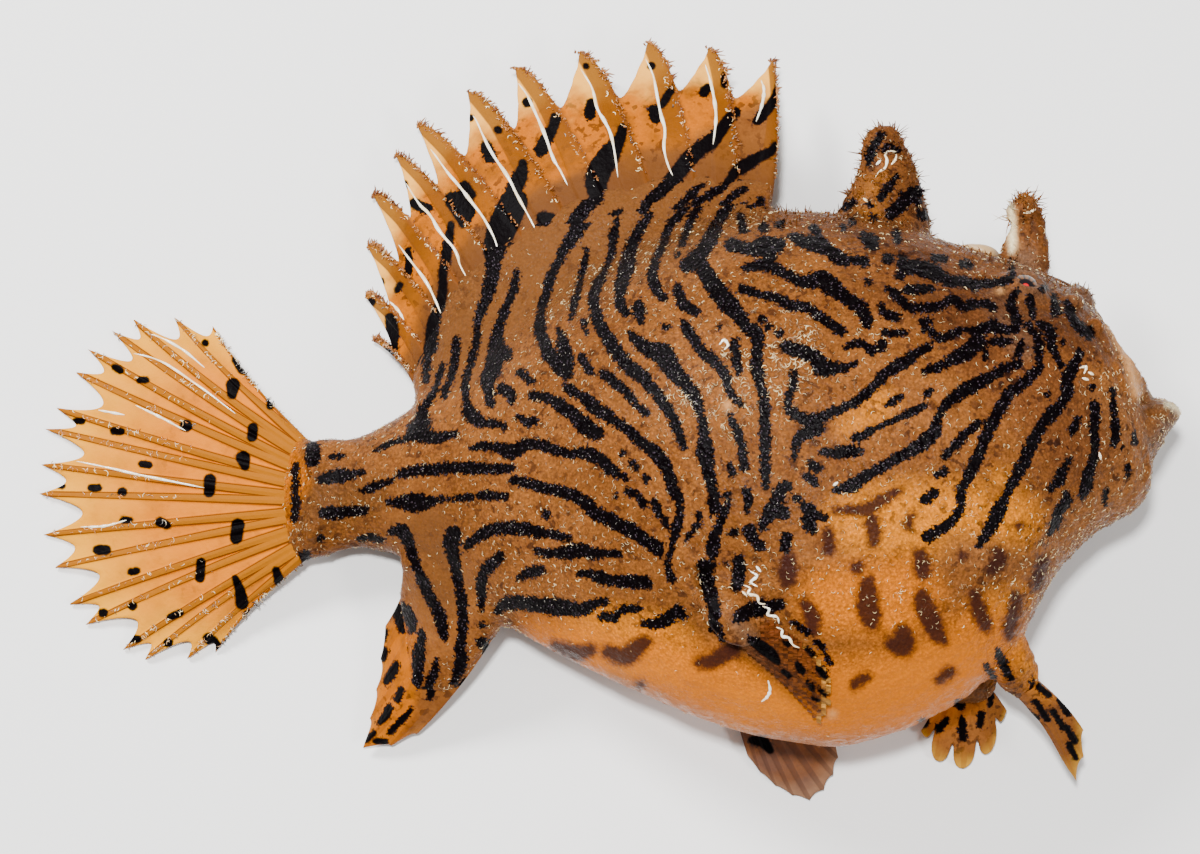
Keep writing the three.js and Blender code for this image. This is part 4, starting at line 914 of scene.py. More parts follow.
# %% Bars and spots of the fins
FIN_SPOTS = [
    [(523, 163, 7), (521, 175, 12), (514, 190, 15)],
    [(451, 224, 5), (447, 251, 9), (443, 274, 7), (442, 297, 8), (433, 324, 11), (431, 343, 10),
     (427, 362, 7), (426, 381, 6)], [(465, 186, 9), (470, 195, 10)],
    [(452, 200, 14), (462, 206, 24), (464, 216, 16), (463, 224, 7)],
    [(414, 203, 9), (424, 208, 9), (430, 208, 5)], [(385, 238, 9)], [(403, 185, 9)], [(379, 282, 9)],
    [(371, 302, 7)], [(408, 250, 4), (409, 262, 6), (407, 275, 4)], [(400, 285, 5), (397, 290, 4)],
    [(390, 318, 9), (392, 330, 12), (391, 348, 12)],
    [(457, 339, 6), (455, 358, 6), (451, 377, 6), (444, 396, 5)],
    [(442, 366, 4), (437, 383, 5), (431, 398, 6), (423, 408, 6)], [(543, 218, 12), (552, 219, 10)],
    [(527, 102, 9)], [(470, 118, 6)], [(486, 146, 8), (490, 157, 10)],
    [(556, 118, 10), (552, 130, 9), (545, 142, 11), (541, 150, 11)], [(498, 130, 7)], [(586, 66, 5)],
    [(591, 103, 8), (590, 114, 10)], [(651, 66, 7)], [(654, 110, 9), (656, 118, 10)],
    [(676, 84, 5), (668, 95, 7), (662, 105, 6)], [(704, 92, 9), (708, 88, 8)], [(724, 75, 5), (724, 85, 6)],
    [(780, 82, 6), (778, 92, 9), (773, 102, 9), (765, 112, 9), (757, 122, 6)],
    [(736, 112, 8), (728, 120, 10), (720, 132, 11), (711, 142, 14), (701, 148, 13), (690, 158, 15),
     (680, 170, 14), (668, 185, 14), (658, 196, 10)],
    [(623, 128, 8), (619, 140, 11), (608, 157, 20), (600, 170, 22), (596, 185, 20), (600, 196, 16)],
    [(775, 145, 5), (770, 152, 8), (757, 158, 9), (743, 167, 12), (735, 172, 9), (728, 183, 8),
     (717, 192, 10)], [(707, 180, 5), (700, 187, 7), (696, 194, 8)],
    [(750, 185, 5), (742, 192, 7), (740, 194, 7)], [(767, 198, 6), (768, 206, 6)],
    [(237, 360, 9), (243, 368, 12)], [(233, 385, 13), (232, 395, 8)], [(272, 400, 9), (270, 406, 6)],
    [(205, 343, 6)], [(192, 320, 5)], [(115, 367, 6), (120, 370, 7)], [(140, 380, 6), (146, 380, 6)],
    [(75, 421, 5), (82, 421, 6)], [(114, 431, 7), (121, 431, 7)], [(186, 426, 11)],
    [(253, 428, 9), (252, 437, 9)], [(142, 464, 6), (149, 465, 6)], [(243, 458, 13), (245, 466, 8)],
    [(313, 447, 11), (313, 460, 13)], [(296, 465, 6), (295, 485, 6), (296, 500, 7), (294, 520, 5)],
    [(210, 480, 11), (209, 492, 10)], [(91, 488, 6), (98, 488, 7)], [(57, 484, 6), (62, 486, 6)],
    [(122, 492, 8)], [(123, 520, 6), (130, 520, 5)], [(160, 522, 9), (167, 525, 7)],
    [(238, 525, 12), (236, 538, 11)], [(61, 552, 6), (67, 552, 6)], [(98, 550, 9), (106, 550, 9)],
    [(131, 572, 6), (137, 571, 6)], [(201, 562, 8), (200, 578, 8)],
    [(235, 578, 5), (240, 590, 9), (242, 603, 12)], [(248, 615, 9), (249, 625, 9)],
    [(276, 570, 6), (279, 580, 9), (281, 588, 7)], [(305, 555, 6), (308, 565, 9)], [(132, 606, 8)],
    [(103, 613, 8)], [(170, 617, 6), (180, 613, 7)], [(131, 639, 7), (138, 639, 6)], [(168, 643, 8)],
    [(208, 638, 9), (213, 642, 10), (220, 648, 5)],
    [(390, 532, 5), (403, 531, 12), (411, 550, 9), (417, 568, 8), (424, 585, 9), (432, 600, 9),
     (440, 615, 11), (443, 630, 9), (445, 638, 5)],
    [(453, 535, 15), (451, 546, 14), (454, 558, 11), (457, 575, 8), (460, 592, 8), (463, 612, 9),
     (462, 632, 8), (460, 650, 10), (461, 668, 11), (458, 682, 8)],
    [(499, 557, 8), (489, 566, 10), (482, 580, 9), (482, 598, 6), (481, 610, 4)], [(482, 625, 7)],
    [(482, 642, 9), (485, 650, 8)], [(396, 607, 8), (401, 615, 13), (404, 628, 10)],
    [(385, 632, 5), (383, 640, 4)], [(384, 650, 6), (383, 658, 6)],
    [(415, 632, 7), (415, 648, 11), (418, 665, 11), (420, 683, 10)],
    [(437, 660, 4), (436, 672, 8), (433, 685, 8), (430, 697, 5)],
    [(396, 665, 5), (391, 674, 8), (386, 682, 5)], [(401, 690, 5), (397, 700, 4)],
    [(389, 708, 6), (385, 717, 7), (380, 722, 5)], [(411, 710, 3), (400, 722, 4), (390, 732, 4)],
    [(374, 733, 4), (366, 740, 5)], [(375, 741, 4), (385, 742, 5)],
]
ARM_AND_HAND_SPOTS = [
    [(703, 565, 10), (708, 583, 13), (712, 603, 11)],
    [(738, 618, 10), (752, 610, 15), (768, 607, 14), (781, 604, 8)], [(717, 627, 8), (723, 640, 4)],
    [(752, 640, 8), (762, 647, 11), (772, 655, 10), (778, 662, 5)], [(796, 663, 4), (802, 671, 7)],
    [(783, 671, 4), (789, 676, 5)], [(808, 682, 4), (813, 689, 5)], [(818, 668, 5), (825, 676, 6)],
    [(821, 691, 3), (825, 695, 4)], [(813, 698, 3), (819, 701, 3)],
    [(793, 622, 4), (802, 629, 6), (810, 634, 4)], [(816, 641, 3), (823, 647, 4)],
    [(807, 649, 4), (813, 656, 4)], [(826, 656, 3), (831, 663, 4)], [(784, 641, 3), (789, 645, 5)],
    [(998, 651, 5), (1003, 663, 8), (1011, 679, 5)], [(1032, 681, 4), (1040, 688, 5), (1049, 695, 5)],
    [(1060, 700, 5), (1068, 713, 5)], [(1036, 702, 4), (1047, 719, 5)], [(1053, 711, 4), (1063, 728, 4)],
    [(1066, 727, 4), (1075, 741, 5)], [(1069, 744, 4), (1076, 758, 4)], [(986, 666, 4), (994, 678, 4)],
    [(1025, 710, 3), (1037, 719, 4)], [(960, 704, 9)], [(962, 720, 5), (963, 738, 5)],
    [(981, 714, 5), (980, 725, 5)], [(947, 719, 4), (939, 729, 6)], [(991, 692, 5), (990, 704, 4)],
    [(925, 722, 5)], [(752, 740, 6), (763, 742, 10), (770, 750, 6)], [(923, 723, 8)],
]
print(len(FIN_SPOTS) + len(ARM_AND_HAND_SPOTS), "strokes on the fins")

# %% Blurred marks of the belly
BELLY_MARKS = [
    [(837, 510, 5), (853, 510, 7), (866, 510, 10), (877, 504, 9), (891, 495, 7), (898, 492, 4)],
    [(872, 521, 12), (874, 533, 11), (874, 542, 8)], [(828, 533, 8), (829, 548, 10)],
    [(912, 514, 4), (908, 525, 6)], [(920, 555, 9), (922, 565, 13), (924, 575, 9)], [(857, 567, 10)],
    [(997, 552, 7), (1000, 558, 12), (992, 570, 9)], [(963, 556, 6)], [(1019, 526, 6)],
    [(789, 562, 12), (788, 572, 16), (787, 582, 9)], [(805, 603, 8), (812, 615, 13), (813, 630, 9)],
    [(868, 583, 12), (868, 600, 18), (870, 615, 19), (873, 624, 10)],
    [(903, 632, 12), (903, 645, 20), (892, 643, 10)],
    [(921, 594, 9), (924, 605, 15), (930, 618, 17), (936, 632, 14), (944, 641, 6)],
    [(975, 594, 7), (978, 607, 12), (983, 620, 12), (987, 628, 7)],
    [(1016, 597, 9), (1014, 612, 10), (1010, 628, 10), (1010, 637, 5)],
    [(1043, 562, 9), (1038, 578, 9), (1037, 585, 6)],
    [(700, 663, 8), (712, 662, 11), (722, 655, 13), (733, 650, 12)], [(855, 685, 7), (866, 677, 7)],
    [(940, 680, 7), (950, 672, 8)], [(555, 645, 6), (565, 650, 11), (577, 653, 13), (590, 650, 9)],
    [(608, 652, 10), (620, 656, 14), (628, 655, 16), (637, 648, 14), (645, 642, 9)], [(640, 685, 5)],
]
print(len(BELLY_MARKS), "blurred marks on the belly")

# %% [markdown]
# The ground colour changes over the fish as well. The same kind of strokes, much broader, say
# where the skin is pale and smooth, grey, orange, or dark red-brown. They have soft edges, so a
# point between two of them takes some of both.

# %% Zones of the ground colour
ZONES = {
    "pale": [
        [(1108, 326, 2), (1121, 347, 6), (1131, 368, 9), (1137, 392, 10)],
        [(1160, 396, 3), (1174, 400, 4), (1182, 416, 3)], [(1000, 290, 3)], [(727, 405, 6)],
        [(1012, 212, 4), (1012, 230, 7), (1013, 248, 6)], [(832, 714, 5)],
    ],
    "milky": [
        [(1010, 206, 3), (1011, 222, 5), (1012, 238, 5), (1012, 250, 3)],
        [(1168, 404, 3), (1180, 410, 3), (1183, 420, 2)],
    ],
    "light": [
        [(850, 425, 10), (880, 405, 20)], [(1000, 478, 8)], [(872, 205, 8), (878, 186, 6)],
        [(860, 520, 60), (910, 520, 70), (970, 510, 50)], [(1010, 520, 50)],
        [(600, 640, 60), (660, 650, 60)], [(990, 610, 20), (1015, 600, 16)],
        [(740, 705, 40), (800, 705, 30)], [(1012, 642, 16), (1030, 668, 10), (1046, 690, 6)],
    ],
    "clear": [
        [(380, 340, 60), (390, 270, 84), (415, 220, 90), (445, 180, 110), (485, 145, 120), (540, 115, 130),
         (605, 85, 140), (655, 70, 150), (705, 60, 120), (762, 60, 60)],
        [(150, 480, 270), (200, 480, 200), (268, 480, 76), (280, 485, 30)],
        [(370, 740, 60), (388, 690, 60), (392, 640, 30)],
    ],
    "smooth": [
        [(440, 380, 50), (480, 330, 70), (520, 270, 80), (570, 228, 80), (630, 200, 70), (700, 185, 60),
         (760, 175, 40)], [(420, 520, 60), (440, 580, 80), (430, 640, 80)],
        [(540, 640, 40), (640, 680, 60), (760, 720, 80), (880, 710, 90), (960, 670, 60)],
    ],
    "rust": [
        [(392, 345, 40), (440, 285, 60), (490, 245, 70), (540, 222, 76), (590, 205, 76), (650, 185, 66),
         (700, 178, 56), (760, 172, 40)], [(880, 190, 20), (865, 205, 20)],
        [(450, 350, 70), (520, 280, 90), (600, 245, 90), (680, 220, 80), (740, 205, 50)],
        [(425, 530, 60), (440, 590, 60)], [(1150, 411, 10), (1163, 412, 12), (1168, 418, 8)],
        [(860, 205, 14), (850, 222, 12)], [(745, 628, 30), (765, 650, 30), (800, 680, 30)],
        [(303, 500, 60), (340, 497, 56), (375, 497, 40)],
    ],
    "dusk": [
        [(966, 250, 14), (1000, 262, 22)], [(780, 212, 18), (850, 232, 30), (920, 262, 50), (960, 285, 50)],
        [(850, 275, 20), (900, 300, 36), (960, 320, 40)],
        [(884, 134, 24), (904, 165, 20), (914, 195, 22), (920, 225, 24)], [(896, 190, 20), (890, 215, 26)],
        [(1050, 285, 30), (1075, 310, 30), (1095, 335, 16)], [(866, 150, 6), (870, 170, 8)],
        [(950, 262, 20), (990, 296, 44), (1036, 322, 60), (1080, 330, 44), (1102, 350, 16)],
        [(1046, 262, 16), (1085, 290, 22)], [(1034, 215, 12), (1038, 240, 14)],
    ],
    "grey": [
        [(1154, 398, 16), (1172, 404, 14), (1180, 418, 12)],
        [(1178, 416, 10), (1164, 428, 14), (1150, 442, 16)],
        [(1000, 300, 30), (1012, 325, 32), (1024, 345, 24)], [(1025, 262, 30), (1035, 285, 30)],
        [(1078, 292, 22), (1088, 300, 18)], [(737, 624, 8), (752, 644, 12), (775, 666, 12), (795, 684, 6)],
        [(922, 205, 10), (926, 222, 14)],
    ],
    "orange": [
        [(650, 660, 60), (700, 685, 70), (780, 700, 80), (860, 700, 90), (930, 680, 90), (985, 640, 70)],
        [(540, 640, 40), (600, 650, 50)], [(830, 600, 60), (900, 600, 80)],
    ],
    "throat": [
        [(1100, 400, 40), (1112, 430, 50), (1118, 455, 40)],
        [(1056, 566, 44), (1100, 520, 50), (1130, 480, 40)], [(955, 545, 16), (1010, 558, 24)],
    ],
    "face": [
        [(1060, 330, 40), (1090, 350, 30)],
        [(960, 300, 60), (1000, 360, 80), (1050, 400, 80), (1080, 450, 80)],
        [(900, 252, 30), (930, 262, 40)],
    ],
}
EDGE_WIDTH = {"pale": 1.3, "milky": 1.0, "grey": 2.2}  # mm; every other zone fades over ZONE_EDGE
print("zones:", ", ".join(ZONES))

# %% Laying strokes on a piece
PX = 8.0  # pixels of the photograph in a millimetre of the fish's near side
FAR = 9.0  # mm; no point is told apart further out than this
HALO = 4  # mm; how wide round a batch of points the strokes are looked at
BATCH = 1500
ZONE_EDGE = 4


def segments_of(strokes, smooth=4):
    """Short straight pieces along every stroke, with the half width at both ends, in mm."""
    made = []
    for stroke in strokes:
        knots = np.array(stroke, float)
        if len(knots) == 1:
            knots = np.concatenate([knots, knots + [0.5, 0, 0]])
        steps = (len(knots) - 1) * smooth
        line = curve(knots, np.linspace(0, 1, steps + 1))
        made.append(np.concatenate([line[:-1], line[1:]], axis=1))
    made = np.concatenate(made) / PX
    made[:, [2, 5]] /= 2
    return made.astype(np.float32)


def inside_by(points, segments):
    """How far each point lies inside the nearest stroke, in mm, and below zero outside."""
    best = np.full(len(points), -FAR, np.float32)
    a, b = segments[:, 0:2], segments[:, 3:5]
    step = b - a
    length = np.maximum((step**2).sum(axis=1), 1e-9)
    points = points.astype(np.float32)
    widest = segments[:, [2, 5]].max()
    for begin in range(0, len(points), BATCH):
        p = points[begin:begin + BATCH]
        low, high = p.min(axis=0) - HALO - widest, p.max(axis=0) + HALO + widest
        near = ((np.maximum(a, b) > low) & (np.minimum(a, b) < high)).all(axis=1)
        if not near.any():
            continue
        away = p[:, None] - a[near]
        share = np.clip((away * step[near]).sum(axis=2) / length[near], 0, 1)
        gap = np.linalg.norm(away - share[..., None] * step[near], axis=2)
        half = segments[near, 2] + share * (segments[near, 5] - segments[near, 2])
        best[begin:begin + BATCH] = (half - gap).max(axis=1)
    return np.maximum(best, -FAR)


RELIEF = [
    (0.28, [(1096, 306, 8), (1110, 328, 10), (1122, 350, 11), (1132, 374, 12), (1136, 393, 12)]),
    (-0.32, [(1082, 310, 3), (1096, 332, 4), (1108, 354, 4), (1118, 378, 4), (1122, 398, 4)]),
    (-0.9, [(1150, 410, 7), (1162, 413, 10), (1168, 419, 8)]),
    (0.7, [(1000, 290, 6)]), (0.35, [(727, 405, 6)]), (-0.35, [(1020, 212, 2), (1026, 230, 2)]),
    (-0.4, [(700, 610, 4), (722, 632, 4), (742, 640, 4)]),
    (-0.3, [(1138, 444, 3), (1146, 462, 4), (1143, 485, 3)]),
]

# where the painted glints of the bows gather thickest on the flank
PAINTED_GLINT_PATCH = segments_of([[(690, 400, 40), (730, 400, 60), (775, 380, 60), (800, 340, 50)]])
CRISP = segments_of(BACK_STRIPES + HEAD_STRIPES + FLANK_STRIPES + FIN_SPOTS + ARM_AND_HAND_SPOTS)
BLURRED = segments_of(BELLY_MARKS)
ZONE_SEGMENTS = {name: segments_of(strokes) for name, strokes in ZONES.items()}


def store(mesh, name, values):
    if name in mesh.attributes:
        mesh.attributes.remove(mesh.attributes[name])
    layer = mesh.attributes.new(name, "FLOAT", "POINT")
    layer.data.foreach_set("value", np.asarray(values, np.float32))


def drawing_points(mesh):
    flat = np.empty(len(mesh.vertices) * 3)
    mesh.vertices.foreach_get("co", flat)
    return flat.reshape(-1, 3) / MM + DRAWING_MIDDLE


def markings(points, both_flanks=False):
    """Every marking and zone at points of the drawing."""
    points = points.copy()
    if both_flanks:
        mid = midline_height(points[:, 0])
        below = points[:, 2] < mid
        points[below, 2] = 2 * mid[below] - points[below, 2]
        points[below, 0] += 0.9 * np.sin(points[below, 1] * 0.31)
    order = np.lexsort((points[:, 1], np.round(points[:, 0] / 6)))
    spots = pixels(points) / PX
    sets = {"mark": CRISP, "blur": BLURRED, **ZONE_SEGMENTS}
    found = {}
    for name, segments in sets.items():
        values = np.empty(len(points), np.float32)
        values[order] = inside_by(spots[order], segments)
        if name in ZONES:
            values = np.clip(0.5 + values / EDGE_WIDTH.get(name, ZONE_EDGE), 0, 1)
        found[name] = values
    if both_flanks:
        top_of_head = np.clip((points[:, 0] - 44) / 4, 0, 1) * np.clip((points[:, 1] - 12) / 2, 0, 1)
        near_middle = np.clip(1.2 - np.abs(points[:, 2] - midline_height(points[:, 0])) / 7, 0, 1)
        breaks = 0.9 + 0.9 * np.sin(points[:, 2] * 1.6 + points[:, 0] * 0.8)
        found["mark"] -= top_of_head * near_middle * breaks
    return found


def raised_by(points):
    """Height of the folds and hollows that were read in the photograph, in mm."""
    spots = pixels(points) / PX
    total = np.zeros(len(points))
    for height, stroke in RELIEF:
        total += height * np.clip(0.5 + inside_by(spots, segments_of([stroke])) / 0.7, 0, 1)
    return total * (points[:, 2] > midline_height(points[:, 0]) - 2)


def paint(mesh, both_flanks=False):
    for name, values in markings(drawing_points(mesh), both_flanks).items():
        store(mesh, name, values)


print(len(CRISP) + len(BLURRED), "short strokes in all")

# %% [markdown]
# One look serves skin, coat and fins, so it is a node group: the ground colour from the zones,
# mottling from noise, then the dark marks over it, with a height for the bump. Each material
# places the group with its own values and keeps its own shader, so that gloss can differ.

# %% Node helpers
class Shade:
    """Adds nodes to a tree with little writing. Every call gives back an output socket."""

    def __init__(self, tree):
        self.tree = tree

    def plug(self, value, node, socket):
        """Links an output socket to an input, or sets a plain value there."""
        if isinstance(value, bpy.types.NodeSocket):
            self.tree.links.new(value, node.inputs[socket])
        else:
            node.inputs[socket].default_value = value

    def node(self, kind, inputs=(), **settings):
        made = self.tree.nodes.new("ShaderNode" + kind)
        for name, value in settings.items():
            setattr(made, name, value)
        for socket, value in dict(inputs).items():
            self.plug(value, made, socket)
        return made

    def attribute(self, name):
        return self.node("Attribute", attribute_name=name).outputs["Fac"]

    def place(self):
        return self.node("TexCoord").outputs["Object"]

    def noise(self, scale, detail=3.0, rough=0.55):
        inputs = {"Vector": self.place(), "Scale": scale, "Detail": detail, "Roughness": rough}
        return self.node("TexNoise", inputs).outputs["Fac"]

    def cells(self, scale):
        return self.node("TexVoronoi", {"Vector": self.place(), "Scale": scale}).outputs["Distance"]

    def math(self, operation, a, b=0.0, c=0.0):
        return self.node("Math", {0: a, 1: b, 2: c}, operation=operation).outputs[0]

    def times(self, a, b):
        return self.math("MULTIPLY", a, b)

    def plus(self, a, b):
        return self.math("ADD", a, b)

    def slope(self, value, rise, start):
        """The value times rise, plus start."""
        return self.math("MULTIPLY_ADD", value, rise, start)

    def swing(self, size, scale, detail=3.0, rough=0.55):
        """Noise round zero that goes half of size to either side."""
        return self.times(self.math("SUBTRACT", self.noise(scale, detail, rough), 0.5), size)

    def step(self, value, low, high, out_low=0.0, out_high=1.0):
        """A smooth step from out_low to out_high while the value goes from low to high."""
        inputs = {"Value": value, "From Min": low, "From Max": high, "To Min": out_low, "To Max": out_high}
        return self.node("MapRange", inputs, interpolation_type="SMOOTHSTEP").outputs["Result"]

    def mix(self, share, a, b, blend="MIX"):
        """Two colours mixed. Each is a socket or three numbers."""
        made = self.node("Mix", data_type="RGBA", blend_type=blend)
        self.plug(share, made, 0)
        for socket, colour in ((6, a), (7, b)):
            self.plug(colour if isinstance(colour, bpy.types.NodeSocket) else (*colour, 1), made, socket)
        return made.outputs[2]


def group_tree(name, inputs, outputs):
    tree = bpy.data.node_groups.new(name, "ShaderNodeTree")
    for label, kind in outputs.items():
        tree.interface.new_socket(name=label, in_out="OUTPUT", socket_type=kind)
    for label, value in inputs.items():
        socket = tree.interface.new_socket(name=label, in_out="INPUT", socket_type="NodeSocketFloat")
        socket.default_value = value
    return Shade(tree), tree.nodes.new("NodeGroupInput"), tree.nodes.new("NodeGroupOutput")


# %% Marks
STRIPE, STRIPE_GREY, BLUR = (0.0015, 0.0007, 0.001), (0.050, 0.036, 0.048), (0.026, 0.007, 0.005)
PEBBLE_SCALE = 2300

s, mark_in, mark_out = group_tree(
    "frogfish_marks", {"Fray": 0.22}, {"Crisp": "NodeSocketFloat", "Blurred": "NodeSocketFloat"})
mark_tree, fray = s.tree, mark_in.outputs["Fray"]
edge = s.plus(s.attribute("mark"), s.times(s.swing(fray, 2400, 2.0, 0.6), 4.0))
edge = s.plus(edge, s.swing(s.times(fray, 2.3), 480, 2.0))
edge = s.plus(edge, s.times(s.math("SUBTRACT", 0.42, s.cells(PEBBLE_SCALE)), s.times(fray, 1.4)))
edge = s.plus(edge, s.times(fray, 0.42))
s.plug(s.step(edge, -0.24, 0.04), mark_out, "Crisp")
soft_edge = s.plus(s.attribute("blur"), s.swing(1.6, 1500, 3.0, 0.7))
s.plug(s.step(soft_edge, -1.0, 0.25, 0.0, 0.95), mark_out, "Blurred")
print("marks group with", len(mark_tree.nodes), "nodes")

# %% Skin colour
TAN, TAN_LIGHT, MOTTLE = (0.175, 0.058, 0.012), (0.245, 0.083, 0.018), (0.11, 0.032, 0.007)
GROUND_LAYERS = [  # zone, how much of its colour shows, the colour; a later one lies over an earlier one
    ("light", 0.75, (0.72, 0.220, 0.003)),
    ("orange", 0.85, (0.58, 0.150, 0.0012)),
    ("throat", 0.7, (0.26, 0.098, 0.028)),
    ("face", 0.8, (0.125, 0.040, 0.011)),
    ("rust", 0.85, (0.125, 0.045, 0.011)),
    ("grey", 0.8, (0.155, 0.080, 0.044)),
    ("dusk", "mottled", (0.068, 0.022, 0.007)),
    ("pale", 0.9, (0.62, 0.30, 0.105)),
    ("milky", 1.0, (0.92, 0.82, 0.50)),
]
MEMBRANE_ORANGE, MEMBRANE_DARK = (0.42, 0.105, 0.0002), (0.25, 0.066, 0.0004)
FLECK, MOUTH_RED = (0.016, 0.005, 0.003), (0.07, 0.012, 0.006)

s, skin_in, skin_out = group_tree(
    "frogfish_skin", {"Grain": 1.0},
    {"Color": "NodeSocketColor", "Height": "NodeSocketFloat", "Roughness": "NodeSocketFloat"})
skin_tree = s.tree
mottle, grain, pebbles = s.noise(420, 4.0, 0.65), s.noise(2600, 3.0, 0.7), s.cells(PEBBLE_SCALE)
ground = s.mix(s.step(s.noise(70, 4.0), 0.35, 0.65), TAN, TAN_LIGHT)
ground = s.mix(s.step(mottle, 0.42, 0.72, 0, 0.6), ground, MOTTLE)
for zone, share, tint in GROUND_LAYERS:
    share = s.step(mottle, 0.30, 0.62, 0.95, 0.55) if share == "mottled" else share
    ground = s.mix(s.times(s.attribute(zone), share), ground, tint)
shown = s.plus(s.attribute("clear"), s.swing(0.9, 160, 4.0, 0.6))
membrane = s.mix(s.step(s.noise(230, 3.0), 0.47, 0.68), MEMBRANE_ORANGE, MEMBRANE_DARK)
ground = s.mix(s.step(shown, 0.2, 0.7), ground, membrane)
speck = s.times(s.step(grain, 0.35, 0.70, 0.68, 1.22), s.step(pebbles, 0.0, 0.6, 1.14, 0.78))
speck = s.node("CombineColor", {0: speck, 1: speck, 2: speck}).outputs[0]
rough_skin = s.times(s.slope(s.attribute("smooth"), -0.6, 1.0), s.slope(s.attribute("pale"), -0.8, 1.0))
grainy = s.times(skin_in.outputs["Grain"], rough_skin)
ground = s.mix(grainy, ground, s.mix(1.0, ground, speck, "MULTIPLY"))
off_belly = s.times(rough_skin, s.slope(s.attribute("orange"), -1.0, 1.0))
flecks = s.times(s.step(s.noise(1000, 2.0, 0.5), 0.55, 0.62), s.step(s.noise(210, 2.0), 0.40, 0.62, 0.2, 1.0))
flecks = s.times(s.times(flecks, off_belly), s.slope(s.attribute("face"), 0.25, 0.65))
ground = s.mix(flecks, ground, FLECK)
marks = s.node("Group", {"Fray": 0.30}, node_tree=mark_tree)
ground = s.mix(marks.outputs["Blurred"], ground, BLUR)
ink = s.mix(s.step(pebbles, 0.30, 0.08), STRIPE, STRIPE_GREY)
colour = s.mix(marks.outputs["Crisp"], ground, ink)
s.plug(s.mix(s.attribute("inner"), colour, MOUTH_RED), skin_out, "Color")
height = s.plus(s.times(pebbles, -0.7), s.times(grain, 0.6))
s.plug(s.plus(height, s.times(s.noise(700, 2.0), 0.8)), skin_out, "Height")
s.plug(s.step(s.noise(900, 3.0), 0.35, 0.65, 0.16, 0.5), skin_out, "Roughness")
print("skin group with", len(skin_tree.nodes), "nodes")

# %% [markdown]
# Gloss belongs to the shader, so every finish is a material of its own round the same group.
# Fresh skin lets a little light in, which subsurface gives. The bows are smoother than the skin,
# and brighter because a painted highlight, pale cream and pale grey on the stripes, is mixed
# into their colour in patches.


# %% Skin materials
def finished_material(name, dials):
    material, shader = new_material(name, dials)
    return material, Shade(material.node_tree), shader


def bumped(s, shader, height, depth):
    bump = s.node("Bump", {"Height": height, "Distance": depth * MM})
    s.plug(bump.outputs["Normal"], shader, "Normal")


def skin_material(name, grain, depth):
    material, s, shader = finished_material(name, {
        "Specular IOR Level": 0.03, "Subsurface Weight": 0.08, "Subsurface Scale": 0.3,
        "Subsurface Radius": (0.004, 0.0015, 0.0007)})
    look = s.node("Group", {"Grain": grain}, node_tree=skin_tree)
    s.plug(look.outputs["Color"], shader, "Base Color")
    s.plug(look.outputs["Roughness"], shader, "Roughness")
    bumped(s, shader, look.outputs["Height"], depth)
    return material


skin_wet = skin_material("skin_wet", 1.0, 0.10)
spinule_skin = skin_material("spinule_skin", 0.8, 0.03)
bow_skin_painted_glint, s, shader = finished_material("bow_skin_painted_glint", {"Roughness": 0.2, "Specular IOR Level": 0.6})
look = s.node("Group", {"Grain": 0.0}, node_tree=skin_tree)
on_stripe = s.step(s.attribute("mark"), -0.2, 0.2)
# painted highlight: pale cream off the stripes and pale grey on them, mixed into the bows' colour where the
# noise allows
painted_glint_tint = s.mix(on_stripe, (0.97, 0.75, 0.38), (0.66, 0.62, 0.54))
painted_glint_share = s.times(s.step(s.noise(900, 3.0, 0.7), 0.42, 0.66, 0.06, 1.0), s.slope(on_stripe, -0.35, 1.0))
s.plug(s.mix(painted_glint_share, look.outputs["Color"], painted_glint_tint), shader, "Base Color")
print("skin finishes:", skin_wet.name, spinule_skin.name, bow_skin_painted_glint.name)

# %% [markdown]
# A fin is skin stretched thin: the body's colour at its root, its own colour further out,
# cream at the edge, and the rays darker or lighter than the web. One function holds what all
# fins share, and each fin gives its colours and the reach at which they change.

# %% Fin membrane
MEMBRANE_DIALS = {"Roughness": 0.45, "Specular IOR Level": 0.03}
CRUST = (0.15, 0.043, 0.007)


def fin_material(name, cream, ray, cream_from, cream_full, ray_share=0.85, cover=None, ray_from=0.62,
                 foot=None, hollow=0):
    material, s, shader = finished_material(name, MEMBRANE_DIALS)
    hill = s.attribute("ray")
    wave = s.plus(s.attribute("reach"), s.swing(0.25, 260))
    base = s.node("Group", {"Grain": 0.3}, node_tree=skin_tree).outputs["Color"]
    if cover:
        cloudy = s.step(s.noise(330, 3.0), 0.35, 0.65, 0.55, 0.95)
        base = s.mix(s.times(s.step(wave, 0.03, 0.16), cloudy), base, cover)
    if foot:
        base = s.mix(s.step(wave, 0.62, 0.30, 0, 0.85), base, foot)
    base = s.mix(s.step(wave, cream_from, cream_full), base, cream)
    banded = s.times(s.step(hill, 0.15, 0.7), s.step(wave, ray_from, ray_from + 0.25))
    base = s.mix(s.times(banded, ray_share), base, ray)
    if hollow:
        base = s.mix(s.step(hill, 0.86, 0.97, 0, hollow), base, s.mix(0.5, cover, cream))
    flecks = s.times(s.attribute("crust"), s.step(s.noise(900, 3.0, 0.7), 0.3, 0.6, 0.2, 1.0))
    base = s.mix(flecks, base, CRUST)
    marks = s.node("Group", {"Fray": 0.05}, node_tree=mark_tree)
    s.plug(s.mix(marks.outputs["Crisp"], base, STRIPE), shader, "Base Color")
    bumped(s, shader, s.plus(s.noise(1800, 3.0), s.times(s.noise(300, 2.0), 1.5)), 0.10)
    return material


